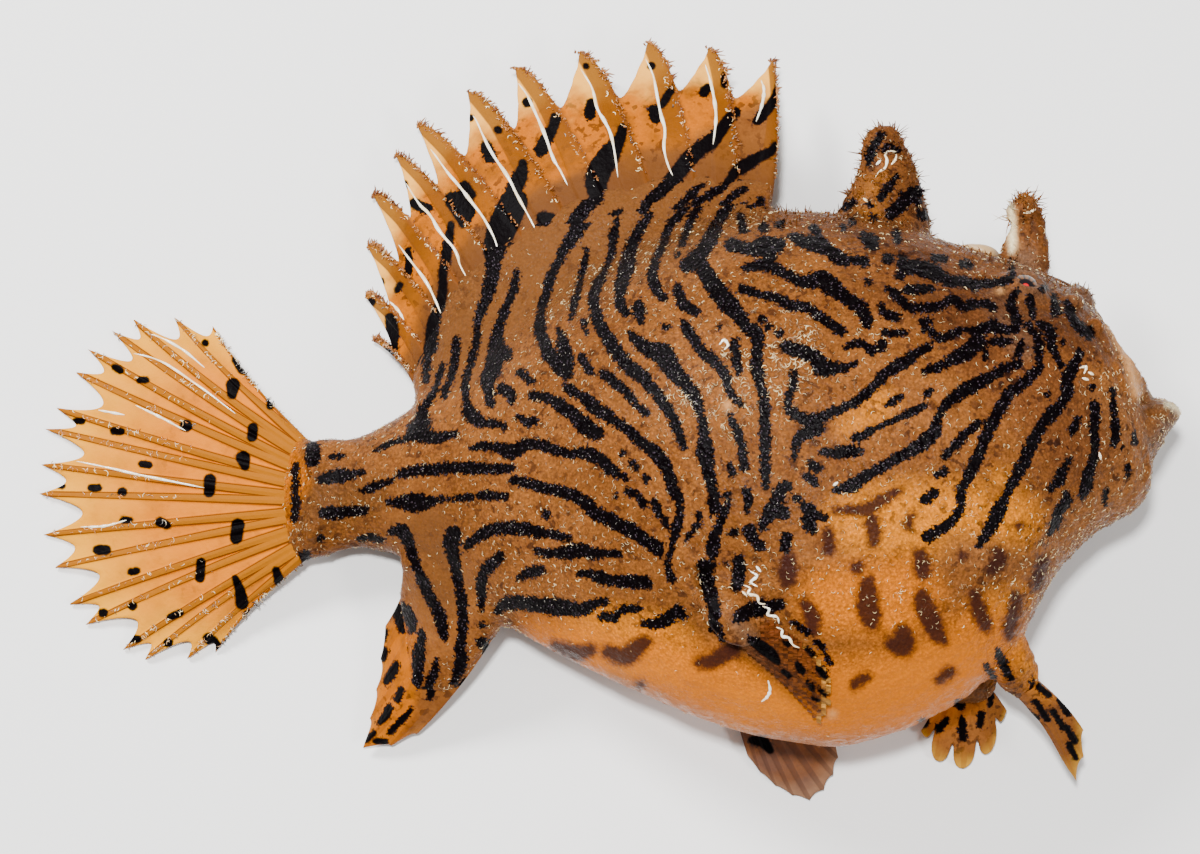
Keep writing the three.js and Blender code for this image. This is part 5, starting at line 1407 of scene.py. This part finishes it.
back_fin_skin = fin_material(
    "back_fin_skin", (0.80, 0.36, 0.05), (0.14, 0.041, 0.002), 0.72, 0.88, ray_from=0.4,
    foot=(0.088, 0.028, 0.006))
anal_fin_skin = fin_material("anal_fin_skin", (0.40, 0.13, 0.006), (0.19, 0.048, 0.002), 0.8, 1.1, 0.5)
tail_fin_skin = fin_material(
    "tail_fin_skin", (0.76, 0.32, 0.006), (0.15, 0.036, 0.0012), 0.5, 1.05, 1.0,
    cover=(0.60, 0.165, 0.0004), ray_from=-0.3, hollow=0.28)
hand_skin = fin_material(
    "hand_skin", (0.74, 0.36, 0.07), (0.09, 0.024, 0.005), 0.86, 0.97, 0.6,
    cover=(0.10, 0.023, 0.004), ray_from=0.2)
pelvic_skin = fin_material("pelvic_skin", (0.60, 0.30, 0.03), (0.26, 0.085, 0.012), 0.7, 1.1, 0.4)
far_hand_skin = fin_material(
    "far_hand_skin", (0.30, 0.16, 0.09), (0.050, 0.022, 0.016), 0.8, 1.1, 0.45,
    cover=(0.115, 0.055, 0.036), ray_from=-0.2)


def two_tone(name, scale, darker, lighter, dials):
    """A finish whose colour wanders between two tones."""
    material, s, shader = finished_material(name, dials)
    s.plug(s.mix(s.step(s.noise(scale, 2.0), 0.4, 0.6), darker, lighter), shader, "Base Color")
    return material


crust_skin = two_tone("crust_skin", 600, (0.16, 0.045, 0.008), (0.34, 0.13, 0.03),
                      {"Roughness": 0.3, "Specular IOR Level": 0.4})
# painted highlight: the cords' near-white colour stands for bright wet lines of light
painted_glint_cord = two_tone("painted_glint_cord", 500, (0.86, 0.68, 0.42), (0.95, 0.90, 0.74),
                    {"Roughness": 0.16, "Specular IOR Level": 1.0})
print("materials:", len(bpy.data.materials))

# %% [markdown]
# The melted skin gets its last relief here: slow soft folds, deeper where the skin gathers
# round the arm and the jaw. The folds are noise along each point's normal, so they cost
# nothing in faces. Then the marks are laid on, and the skin takes the place of the plain flesh.

# %% The skin
LOWEST = 0.0001  # metres over the floor
MOUTH_INSIDE = (7.9, 5.5, 7.7)


def relieved(bm):
    bm.normal_update()
    shift = []
    for vert in bm.verts:
        p = vert.co / MM
        soft = noise.noise(p * 0.16) * 0.22 + noise.noise(p * 0.55) * 0.09
        warty = noise.noise(p * 0.95) * 0.20 * min(max((p.x - 22) / 25, 0), 1)
        on_head = min(max((p.x - 10) / 10, 0), 1), min(max((p.y - 12) / 6, 0), 1)
        warty += noise.noise(p * 1.7) * 0.16 * on_head[0] * on_head[1]
        shift.append(vert.co + vert.normal * ((soft * fold_depth(p) + warty) * MM))
    put(bm, shift)


def fold_depth(p):
    near_arm = math.exp(-((p.x - 13) ** 2 + (p.y + 24) ** 2) / 60)
    near_jaw = math.exp(-((p.x - 63) ** 2 + (p.y + 8) ** 2) / 90)
    return 1 + 1.6 * near_arm + 1.2 * near_jaw


relieved(skin_shape)
skin_shape.normal_update()
heights = raised_by(places(skin_shape) / MM + DRAWING_MIDDLE)
put(skin_shape, [vert.co + vert.normal * (height * MM) for vert, height in zip(skin_shape.verts, heights)])
for vert in skin_shape.verts:
    vert.co.z = max(vert.co.z, LOWEST)
skin = new_object("skin", skin_shape, skin_wet)
paint(skin.data, both_flanks=True)
points = drawing_points(skin.data)
local = turned(points - MOUTH_AT, -MOUTH_FACING) / MOUTH_INSIDE
depth = (np.array(LIP["at"]) - points) @ MOUTH_AHEAD
in_hollow = np.clip((1.06 - np.linalg.norm(local, axis=1)) * 6, 0, 1)
store(skin.data, "inner", in_hollow * np.clip(depth / 1.5 - 0.6, 0, 1))
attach(skin, "root")
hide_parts("head", "lower_jaw", "trunk", "tail_stalk", "second_spine", "third_spine")
print("skin:", len(skin.data.polygons), "faces")

# %% [markdown]
# The clear part of each fin starts inside its thick foot and comes out of it at a low angle.

# %% Fins
def fin_object(name, bm, material, node):
    made = new_object(name, in_metres(bm), material)
    paint(made.data)
    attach(made, "root")
    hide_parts(node)
    print(name, len(made.data.polygons), "faces")
    return made


back_fin = fin_object(
    "back_fin_sheet",
    fin_sheet(fans["back"], HOOKED_EDGE, 440, 90, root=2.4, edge=MEMBRANE, ridge=0.5, ray_wide=1.25,
              wave=0.3, band=back_band),
    back_fin_skin, "back_fin")
tail_fin = fin_object(
    "tail_fin_sheet",
    fin_sheet(fans["tail"], tail_edge, 420, 112, root=3.6, edge=MEMBRANE, ridge=0.8, ray_wide=0.95, wave=0.3),
    tail_fin_skin, "tail_fin")
fin_object(
    "anal_fin_sheet",
    fin_sheet(fans["anal"], bay(0.96), 220, 90, root=2.4, edge=MEMBRANE, ridge=0.2, ray_wide=1.4, wave=0.1),
    anal_fin_skin, "anal_fin")
SIDE_SKINS = {"pectoral_right": hand_skin, "pectoral_left": far_hand_skin,
              "pelvic_right": pelvic_skin, "pelvic_left": pelvic_skin}
for name, spec in SIDE_FINS.items():
    limb_name, side = name.split("_")
    fin_object(
        name + "_blade", blade_of(spec, across=110, outward=56, ridge=spec["ridge"] * 0.6, ray_wide=0.9),
        SIDE_SKINS[name], limb_name + "_fin_" + side)

# %% [markdown]
# The eye is a wet ball that sits in its socket. It has a small pupil in a black ring, its red a
# painted reflection of the flash's red-eye glow, and outside them a brown iris with dark spokes,
# so each point of the ball keeps its angle from the axis and round it. Rings drawn by angle stay
# round however coarse the ball is.

# %% Eyes
eye_look, s, shader = finished_material("eye_wet", {
    "Roughness": 0.2, "Specular IOR Level": 0.1, "Coat Weight": 0.5, "Coat Roughness": 0.03})
from_pole = s.plus(s.attribute("off_axis"), s.swing(0.12, 900, 2.0))
spokes = s.math("SINE", s.times(s.attribute("spoke"), 14.0))
iris = s.mix(s.step(spokes, 0.1, 0.8), (0.12, 0.045, 0.012), (0.01, 0.005, 0.004))
iris = s.mix(s.step(from_pole, 0.42, 0.50), (0.006, 0.004, 0.005), iris)
# painted reflection: the red at the middle of the pupil is the flash's red-eye glow
iris = s.mix(s.step(from_pole, 0.14, 0.20), (0.50, 0.006, 0.008), iris)
s.plug(iris, shader, "Base Color")
for side, (at, out) in eye_spots.items():
    bm = bmesh.new()
    bmesh.ops.create_uvsphere(bm, u_segments=64, v_segments=40, radius=1)
    gaze = unit(out * 0.5 + np.array([0, 0, 1.0 if side == "right" else -1.0]))
    turn = Vector(gaze).to_track_quat("Z", "Y").to_matrix()
    local = places(bm)
    centre = at - out * EYE_SUNK
    put(bm, np.array([tuple(turn @ Vector(p)) for p in local]) * EYE_RADIUS + centre)
    ball = new_object("eyeball_" + side, in_metres(bm), eye_look)
    store(ball.data, "off_axis", np.arccos(np.clip(local[:, 2], -1, 1)))
    store(ball.data, "spoke", np.arctan2(local[:, 1], local[:, 0]))
    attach(ball, "root")
    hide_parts("eye_" + side)
print("two eyes")

# %% [markdown]
# The lure of a frogfish is its first spine: a thin rod with a worm-like bait of two lobes. It
# lies back along the head here. Three thin limbs are melted into one small piece.

# %% Lure
ROD_THICK, BAIT_THICK = [0.24, 0.2, 0.18, 0.17, 0.16], [0.44, 0.8, 0.72, 0.32]
LURE_VOXEL = 0.1
ROD = [(59.6, 14.8, 21.4), (57.4, 15.9, 22.6), (54.4, 17.0, 23.3), (51.6, 18.3, 22.6), (49.4, 19.3, 21.3)]
BAIT = [
    [(49.8, 19.3, 21.4), (48.2, 19.9, 20.8), (46.4, 20.5, 20.0), (44.8, 21.0, 19.4)],
    [(49.6, 19.2, 21.6), (48.4, 19.5, 22.6), (46.8, 20.0, 23.2), (45.6, 20.4, 23.2)],
]
lure_flesh, s, shader = finished_material("lure_flesh", {"Roughness": 0.35, "Coat Weight": 0.4})
rod_colour = s.mix(s.step(s.noise(900, 3.0), 0.4, 0.7), (0.10, 0.045, 0.022), (0.04, 0.016, 0.008))
along = s.node("SeparateXYZ", {0: s.place()}).outputs["X"]
s.plug(s.mix(s.step(along, 0.0505, 0.0485), rod_colour, (0.42, 0.26, 0.12)), shader, "Base Color")
bumped(s, shader, s.noise(1500, 2.0), 0.1)
rod = limb(ROD, ROD_THICK, ROD_THICK, 12, 60, blunt=0.2)
baits = [limb(path, BAIT_THICK, BAIT_THICK, 16, 30) for path in BAIT]
lure = new_object("lure", melt(in_metres(join_shapes([rod] + baits)), LURE_VOXEL), lure_flesh)
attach(lure, "root")
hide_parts("lure_spine")
print("lure:", len(lure.data.polygons), "faces")

# %% [markdown]
# The coat of a frogfish is thousands of tiny forked prickles, about a third of a millimetre
# high. Each is two slim spikes on one foot, eight triangles in all, and they are made as
# arrays and joined into a few meshes. They are sown at random over the skin, thin out on the
# belly and leave the lips, eyes and mouth free. A patch of the map OFBake keeps each one's
# colour at its own root when the model is exported.

# %% Where things grow
seeds = np.random.default_rng(20)
skin_points = drawing_points(skin.data)
corner_points = np.empty(len(skin.data.loops), np.int32)
skin.data.loops.foreach_get("vertex_index", corner_points)
first_corner = np.empty(len(skin.data.polygons), np.int32)
skin.data.polygons.foreach_get("loop_start", first_corner)
face_corners = corner_points[first_corner[:, None] + np.arange(3)]
flat = np.empty(len(skin.data.polygons) * 3)
skin.data.polygons.foreach_get("normal", flat)
face_normals = flat.reshape(-1, 3)
face_centres = skin_points[face_corners].mean(axis=1)
inner_values = np.empty(len(skin_points), np.float32)
skin.data.attributes["inner"].data.foreach_get("value", inner_values)
face_zones = {name: values for name, values in markings(face_centres, True).items() if name in ZONES}


def sow(weights, count):
    """Random places on the skin, more of them where the weight is greater."""
    chosen = seeds.choice(len(weights), size=count, replace=True, p=weights / weights.sum())
    share = seeds.dirichlet((1, 1, 1), count)
    roots = (skin_points[face_corners[chosen]] * share[:, :, None]).sum(axis=1)
    return roots, face_normals[chosen], chosen


BODY_GRID_T, BODY_GRID_A = np.meshgrid(
    np.linspace(0, 1, 160), np.linspace(0, 2 * math.pi, 160, endpoint=False))
body_tree = KDTree(BODY_GRID_T.size)
for number, spot in enumerate(body_point(BODY_GRID_T.ravel(), BODY_GRID_A.ravel())):
    body_tree.insert(spot, number)
body_tree.balance()


def unwrapped(roots):
    """Where roots fall on the flat map of the body, along it and round it."""
    found = np.array([body_tree.find(root)[1] for root in roots])
    along, around = BODY_GRID_T.ravel()[found], BODY_GRID_A.ravel()[found] / (2 * math.pi)
    return np.stack([0.01 + 0.98 * around, 0.01 + 0.98 * along], axis=1)


def joined_mesh(name, points, faces, roots, per_root, material, marks):
    """Many small closed shapes as one piece, with the marks and map of their roots."""
    mesh = bpy.data.meshes.new(name)
    mesh.from_pydata(metres(points).tolist(), [], faces.tolist())
    mesh.materials.append(material)
    mesh.shade_smooth()
    for label, values in marks.items():
        store(mesh, label, np.repeat(values, per_root))
    store(mesh, "inner", np.zeros(len(points)))
    patch = mesh.uv_layers.new(name="OFBake")
    corners = faces.ravel()
    middle = np.repeat(unwrapped(roots), per_root, axis=0)
    turn = np.arange(len(points)) % per_root / per_root * 2 * math.pi
    spread = middle + 0.0015 * np.stack([np.cos(turn), np.sin(turn)], axis=1)
    patch.data.foreach_set("uv", spread[corners].astype(np.float32).ravel())
    made = bpy.data.objects.new(name, mesh)
    bpy.context.collection.objects.link(made)
    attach(made, "root")
    return made


print(len(face_centres), "faces to grow on")

# %% Prickles
PRICKLES, PER_PIECE, PRICKLE_POINTS = 32000, 16000, 8


def across_pair(normals):
    first = unit(np.cross(normals, seeds.normal(size=normals.shape)))
    return first, np.cross(normals, first)


def repeated(faces, copies, points_each):
    """The faces of one small shape, for as many copies of it."""
    return (np.array(faces)[None] + np.arange(copies)[:, None, None] * points_each).reshape(-1, 3)


def prickles(roots, normals, tall, wide):
    first, second = across_pair(normals)
    lean = normals + np.array([-0.1, 0, 0])
    points = []
    for fork in (-1, 1):
        foot = roots + first * (fork * wide * 0.5)[:, None] - normals * 0.06
        way = unit(lean + first * fork * 0.38)
        for turn in (0, 2.1, 4.2):
            points.append(foot + (first * math.cos(turn) + second * math.sin(turn)) * wide[:, None])
        points.append(foot + way * tall[:, None])
    one = [(0, 1, 3), (1, 2, 3), (2, 0, 3), (0, 2, 1), (4, 5, 7), (5, 6, 7), (6, 4, 7), (4, 6, 5)]
    return np.stack(points, axis=1).reshape(-1, 3), repeated(one, len(roots), PRICKLE_POINTS)


face_pixels = pixels(face_centres)
belly = np.clip((face_pixels[:, 1] - 590) / 60, 0, 1) * (face_pixels[:, 0] > 520)
weights = (1 - 0.75 * belly) * (1 - face_zones["pale"]) * (inner_values[face_corners[:, 0]] < 0.05)
weights *= (face_centres[:, 2] > 0.8) * (1 - 0.85 * face_zones["smooth"])
for at, out in eye_spots.values():
    weights *= np.linalg.norm(face_centres - at, axis=1) > EYE_RADIUS + 1.0
coat = []
roots, normals, chosen = sow(weights, PRICKLES)
tall = seeds.uniform(0.10, 0.22, PRICKLES) * (1 - 0.4 * belly[chosen])
wide = seeds.uniform(0.05, 0.075, PRICKLES)
for number in range(PRICKLES // PER_PIECE):
    part = slice(number * PER_PIECE, (number + 1) * PER_PIECE)
    points, faces = prickles(roots[part], normals[part], tall[part], wide[part])
    coat.append(joined_mesh(f"prickles_{number + 1}", points, faces, roots[part], PRICKLE_POINTS,
                            spinule_skin, markings(roots[part], True)))
print(len(coat), "pieces of coat,", sum(len(piece.data.polygons) for piece in coat), "triangles")

# %% [markdown]
# Some prickles are larger: two arms that bend down to the skin to both sides, so that from
# above each is a short bow. They are smooth and wet, and the small bright light draws a curved
# line along each of them; their colour also carries a painted highlight, pale cream and pale
# grey on the stripes, and together these make the skin glisten. Gloss on a flat skin would only
# give round spots of light.

# %% Bows
BOWS, PER_BOWS = 12000, 6000
TUBE_POINTS = 17  # in a bow and in a thread alike


def tube_walls(sides, parts):
    """Triangles between the rings of a tube."""
    made = []
    for part in range(parts):
        for side in range(sides):
            a, b = part * sides + side, part * sides + (side + 1) % sides
            made += [(a, b, b + sides), (a, b + sides, a + sides)]
    return made


def bows(roots, normals, wide, turn_radius):
    """Bent three-sided tubes with two pointed ends."""
    first, second = across_pair(normals)
    rings = []
    span = seeds.uniform(0.7, 1.5, len(roots))
    for share, size in ((-0.8, 0.7), (-0.4, 0.95), (0.0, 1.0), (0.4, 0.95), (0.8, 0.7)):
        angle = span * share
        ahead = first * np.sin(angle)[:, None] + second * (1 - np.cos(angle))[:, None]
        centre = roots + ahead * turn_radius[:, None] + normals * (0.13 - 0.07 * abs(share))
        outward = unit(second * np.cos(angle)[:, None] - first * np.sin(angle)[:, None])
        for corner in range(3):
            around = math.pi / 2 + corner * 2 * math.pi / 3
            to_wall = outward * math.cos(around) + normals * math.sin(around)
            rings.append(centre + to_wall * (wide * size)[:, None])
    for end in (-1.15, 1.15):
        angle = span * end
        ahead = first * np.sin(angle)[:, None] + second * (1 - np.cos(angle))[:, None]
        rings.append(roots + ahead * turn_radius[:, None])
    one = tube_walls(3, 4)
    one += [(b, a, 15) for a, b in ((0, 1), (1, 2), (2, 0))]
    one += [(12 + a, 12 + b, 16) for a, b in ((0, 1), (1, 2), (2, 0))]
    return np.stack(rings, axis=1).reshape(-1, 3), repeated(one, len(roots), TUBE_POINTS)


# bows are sown thicker and made larger where the painted glints gather
painted_glint_patch = np.clip(0.5 + inside_by(face_pixels / PX, PAINTED_GLINT_PATCH) / 4, 0, 1)
bow_weights = (weights * (1 - 0.6 * belly) * (1 + 3 * painted_glint_patch)
               * (1 - 0.5 * face_zones["dusk"]) * (1 - 0.4 * face_zones["face"]))
roots, normals, chosen = sow(bow_weights, BOWS)
wide = seeds.uniform(0.03, 0.055, BOWS) * (1 + 0.4 * painted_glint_patch[chosen])
turn_radius = seeds.uniform(0.14, 0.34, BOWS) * (1 + 0.5 * painted_glint_patch[chosen])
at_root = markings(roots, True)
on_black = at_root["mark"] > -0.1
wide *= np.where(on_black, 0.85, 1.0)
turn_radius *= np.where(on_black, 0.4, 1.0)
for number in range(BOWS // PER_BOWS):
    part = slice(number * PER_BOWS, (number + 1) * PER_BOWS)
    points, faces = bows(roots[part], normals[part], wide[part], turn_radius[part])
    marks_here = {label: values[part] for label, values in at_root.items()}
    coat.append(joined_mesh(
        f"bows_{number + 1}", points, faces, roots[part], TUBE_POINTS, bow_skin_painted_glint, marks_here))
    bm = bmesh.new()
    bm.from_mesh(coat[-1].data)
    bmesh.ops.recalc_face_normals(bm, faces=bm.faces[:])
    bm.to_mesh(coat[-1].data)
    bm.free()
print("bows:", BOWS)

# %% [markdown]
# Longer threads grow on the two thick spines and on the front edge of each ray of the back
# fin, which looks crusted. A thread is a thin bent tube of four sides.

# %% Threads
def threads(roots, ways, long, wide, bend):
    """Bent four-sided tubes with a pointed tip."""
    first, second = across_pair(ways)
    rings = []
    for share, size in ((-0.1, 1.0), (0.3, 0.85), (0.6, 0.65), (0.85, 0.4)):
        centre = roots + ways * (long * share)[:, None] + bend * (long * max(share, 0) ** 2)[:, None]
        for turn in range(4):
            angle = turn * math.pi / 2
            to_wall = first * math.cos(angle) + second * math.sin(angle)
            rings.append(centre + to_wall * (wide * size)[:, None])
    rings.append(roots + ways * long[:, None] + bend * long[:, None])
    one = [(0, 2, 1), (0, 3, 2)] + tube_walls(4, 3)
    one += [(12 + side, 12 + (side + 1) % 4, 16) for side in range(4)]
    return np.stack(rings, axis=1).reshape(-1, 3), repeated(one, len(roots), TUBE_POINTS)


def region(low, high):
    return ((face_centres[:, 0] > low[0]) & (face_centres[:, 0] < high[0])
            & (face_centres[:, 1] > low[1]) & (face_centres[:, 1] < high[1])).astype(float)


def thread_piece(name, roots, ways, long, wide, curl, material=spinule_skin):
    bend = seeds.normal(size=roots.shape) * curl
    points, faces = threads(roots, unit(ways), long, wide, bend)
    joined_mesh(name, points, faces, roots, TUBE_POINTS, material, markings(roots, True))


grown = []
for place, count, low, high in (
    (region((27, 27), (45, 37)), 420, 0.35, 0.9), (region((49.4, 24), (57, 29)), 130, 0.5, 1.1),
    (region((12, 22), (45, 27)), 520, 0.3, 0.7), (region((44, 14), (66, 21)), 420, 0.25, 0.6),
):
    roots, normals, _ = sow(place * weights + place * 1e-6, count)
    ways = normals + seeds.normal(size=normals.shape) * 0.35 + (0, 0.25, 0)
    grown.append((roots, ways, seeds.uniform(low, high, count), seeds.uniform(0.07, 0.12, count)))
roots, ways, long, wide = (np.concatenate(part) for part in zip(*grown))
thread_piece("spine_threads", roots, ways, long, wide, 0.55)
print("threads on the spines:", len(roots))

# %% [markdown]
# The front of each ray of the back fin is crusted with short thick threads, closer together
# towards the tip. They are sown along the ray by its own share of the fan, so that they follow
# its bend, and near the tip some lean out past the edge of the fin.

# %% Crust of the back fin's rays
UP = np.array([0, 0, 1])
CRUST_PER_RAY, CRUST_LIFT = 150, 0.35
rays = len(fans["back"][0])
ray = np.repeat(np.arange(rays), CRUST_PER_RAY)
out_share = 1 - seeds.uniform(0, 1, len(ray)) ** 1.5 * 0.58
ahead_by = np.interp(out_share, [0.45, 0.9, 0.95, 0.98, 1.0], [0.20, 0.18, 0.13, 0.08, 0.01])
inward = seeds.uniform(0, 1, len(ray)) ** 2 * 0.10
c = np.clip((ray - ahead_by + inward) / (rays - 1), 0, 1)
centre = fan_point(fans["back"], c, out_share)
before, after = (fan_point(fans["back"], np.clip(c + way, 0, 1), out_share) for way in (-0.01, 0.01))
ahead = unit(before - after)
side = seeds.choice([-1.0, 1.0, 1.0], len(ray))
free = np.clip((out_share - 0.75) * 6, 0, 1) * (inward < 0.03)
ways = ahead * (0.2 + free)[:, None] + UP * (side * (1.1 - 0.8 * free))[:, None]
ways = ways + seeds.normal(size=ways.shape) * 0.4
long = seeds.uniform(0.25, 0.7, len(ray)) * (0.7 + 0.5 * free)
roots = centre + UP * (side * CRUST_LIFT)[:, None]
thread_piece("back_fin_crust", roots, ways, long, seeds.uniform(0.10, 0.20, len(ray)), 0.35, crust_skin)
print("threads on the rays:", len(roots))

# %% [markdown]
# The same short bows, with their painted highlight, also glisten on the rays of the tail and on
# the crust of the back fin. One function sows them along the rays of a fan, a little to one side
# or the other, on both faces.

# %% Glints on the rays
def ray_glints(name, fan, per_ray, reaches, beside, lift, wide, radius):
    """Bows along the rays; beside and lift are told by a bow's share out from the root."""
    ray = np.repeat(np.arange(len(fan[0])), per_ray)
    out_share = seeds.uniform(*reaches, len(ray))
    c = np.clip((ray + beside(out_share)) / (len(fan[0]) - 1), 0, 1)
    up = np.broadcast_to(UP, (len(ray), 3)) * seeds.choice([1.0, 1.0, -1.0], len(ray))[:, None]
    roots = fan_point(fan, c, out_share) + up * lift(out_share)[:, None]
    roots[:, 2] = np.maximum(roots[:, 2], 0.15)
    points, faces = bows(roots, up, seeds.uniform(*wide, len(ray)), seeds.uniform(*radius, len(ray)))
    joined_mesh(name, points, faces, roots, TUBE_POINTS, bow_skin_painted_glint, markings(roots, True))
    print(name, len(ray), "bows")


ray_glints("tail_ray_glints", fans["tail"], 70, (0.12, 0.97),
           lambda out: seeds.normal(size=len(out)) * 0.06 * (1.2 - out), lambda out: 0.62 - 0.30 * out,
           (0.06, 0.11), (0.2, 0.5))
ray_glints("back_fin_glints", fans["back"], 46, (0.42, 0.95),
           lambda out: seeds.uniform(0, 0.13, len(out)) - 0.17, lambda out: 0.45 + 0 * out,
           (0.06, 0.12), (0.15, 0.4))

# %% [markdown]
# The rear half of each ray is bare and smooth, and catches the light as one bright line. Each
# line is a flattened tube with a painted highlight, near-white in colour, laid on the fin along
# a path read in the photograph; a few more lie on the tail as painted glints. A ray cast from the
# camera finds where the path meets the fin, which a guess at its height would miss.

# %% Rear edges of the rays, with a painted highlight
REAR_EDGES = [
    [(761, 80), (764, 90), (762, 105), (756, 122)],
    [(705, 64), (710, 80), (714, 98), (716, 115), (715, 130), (713, 145)],
    [(645, 58), (653, 75), (657, 95), (661, 115), (665, 130), (664, 148), (668, 165), (673, 176)],
    [(580, 68), (592, 88), (597, 108), (605, 122), (611, 135), (615, 155), (618, 178)],
    [(518, 83), (527, 95), (535, 112), (545, 135), (553, 158), (560, 170), (568, 186)],
    [(469, 111), (476, 120), (485, 140), (495, 158), (508, 177), (517, 195), (527, 213), (540, 238)],
    [(424, 141), (435, 155), (448, 173), (460, 187), (470, 200), (485, 220), (495, 240), (500, 258)],
    [(401, 174), (410, 190), (420, 205), (430, 215), (440, 232), (455, 250), (460, 265), (467, 278)],
    [(372, 206), (377, 216), (384, 226), (395, 240), (410, 260), (425, 280), (433, 295), (442, 316)],
    [(378, 290), (388, 300), (398, 310), (404, 320)],
]


def laid_cord(shots, target, wide, tall, steps):
    """A flat tube along pixels of the photograph, on the piece that the camera sees there."""
    shots = curve(np.array(shots, float), np.linspace(0, 1, 14))
    path = []
    for x, y in shots:
        hit = target.ray_cast(Vector(metres(CAMERA_AT)), Vector(through_pixel(x, y)))[0]
        if hit is not None:
            path.append(np.array(hit) / MM + DRAWING_MIDDLE + (0, 0, 0.03))
    path = np.array(path)
    thin = np.sin(np.linspace(0.25, math.pi - 0.25, len(path))) ** 0.5
    thin *= 1 + 0.25 * np.sin(np.arange(len(path)) * 2.3)
    return limb(path, wide * thin, tall * thin, 12, steps, blunt=0.3)


def tree_of(*pieces):
    """What a line of sight can meet: the pieces' faces."""
    spots, faces = [], []
    for piece in pieces:
        faces += [tuple(corner + len(spots) for corner in face.vertices) for face in piece.data.polygons]
        spots += [vert.co.copy() for vert in piece.data.vertices]
    return BVHTree.FromPolygons(spots, faces)


fin_tree = tree_of(back_fin)
cords = [laid_cord(shots, fin_tree, 0.21, 0.14, 60) for shots in REAR_EDGES]
# painted glints on the tail: bright wet streaks laid as near-white cords
TAIL_PAINTED_GLINTS = [
    [(90, 347), (125, 352), (160, 361), (200, 387), (236, 414)], [(135, 405), (160, 417), (186, 431)],
    [(42, 455), (70, 460), (105, 467), (140, 475), (175, 482), (205, 488)],
    [(80, 527), (105, 526), (127, 520)], [(56, 407), (90, 409), (125, 415)],
    [(112, 330), (150, 334), (180, 348), (205, 368)],
]
tail_tree = tree_of(tail_fin)
cords += [laid_cord(shots, tail_tree, 0.17, 0.12, 60) for shots in TAIL_PAINTED_GLINTS]
rear_edges = new_object("ray_rear_edges_painted_glint", in_metres(join_shapes(cords)), painted_glint_cord)
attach(rear_edges, "root")
print("rear edges:", len(cords))

# %% [markdown]
# A few such painted highlights stand out on the skin itself: a zigzag down the arm, and short
# ones on the face and the spines, near-white lines where the wet skin glints. They are laid in
# the same way, on the skin and the right hand.

# %% Painted glint lines on the arm, the face and the spines
PAINTED_GLINT_LINES = [
    [(750, 571), (757, 576), (751, 582), (758, 587)],
    [(743, 585), (750, 588), (748, 594), (757, 596), (759, 603), (766, 604)],
    [(762, 606), (769, 609), (768, 615), (777, 617), (779, 624)],
    [(776, 627), (782, 630), (782, 636), (789, 638), (793, 645), (800, 648)], [(742, 591), (747, 597)],
    [(756, 566), (761, 572)],
    [(875, 178), (879, 172), (885, 168), (887, 160), (885, 154), (890, 151), (897, 152)],
    [(881, 160), (876, 165)], [(897, 154), (895, 160), (891, 165)], [(1023, 213), (1030, 212), (1036, 209)],
    [(863, 198), (868, 202)], [(1079, 368), (1086, 367), (1084, 374)], [(1088, 372), (1094, 375)],
    [(1082, 378), (1089, 380)], [(719, 345), (724, 340), (728, 345), (724, 350)], [(833, 486), (838, 482)],
    [(1099, 452), (1101, 460)],
]
flank_tree = tree_of(skin, bpy.data.objects["pectoral_right_blade"])
lines = [laid_cord(shots, flank_tree, 0.17, 0.11, 36) for shots in PAINTED_GLINT_LINES]
lines.append(laid_cord([(768, 680), (770, 690), (767, 697), (761, 702)], flank_tree, 0.19, 0.16, 36))
painted_glint_lines = new_object("painted_glint_lines", in_metres(join_shapes(lines)), painted_glint_cord)
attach(painted_glint_lines, "root")
print("wet lines:", len(lines))
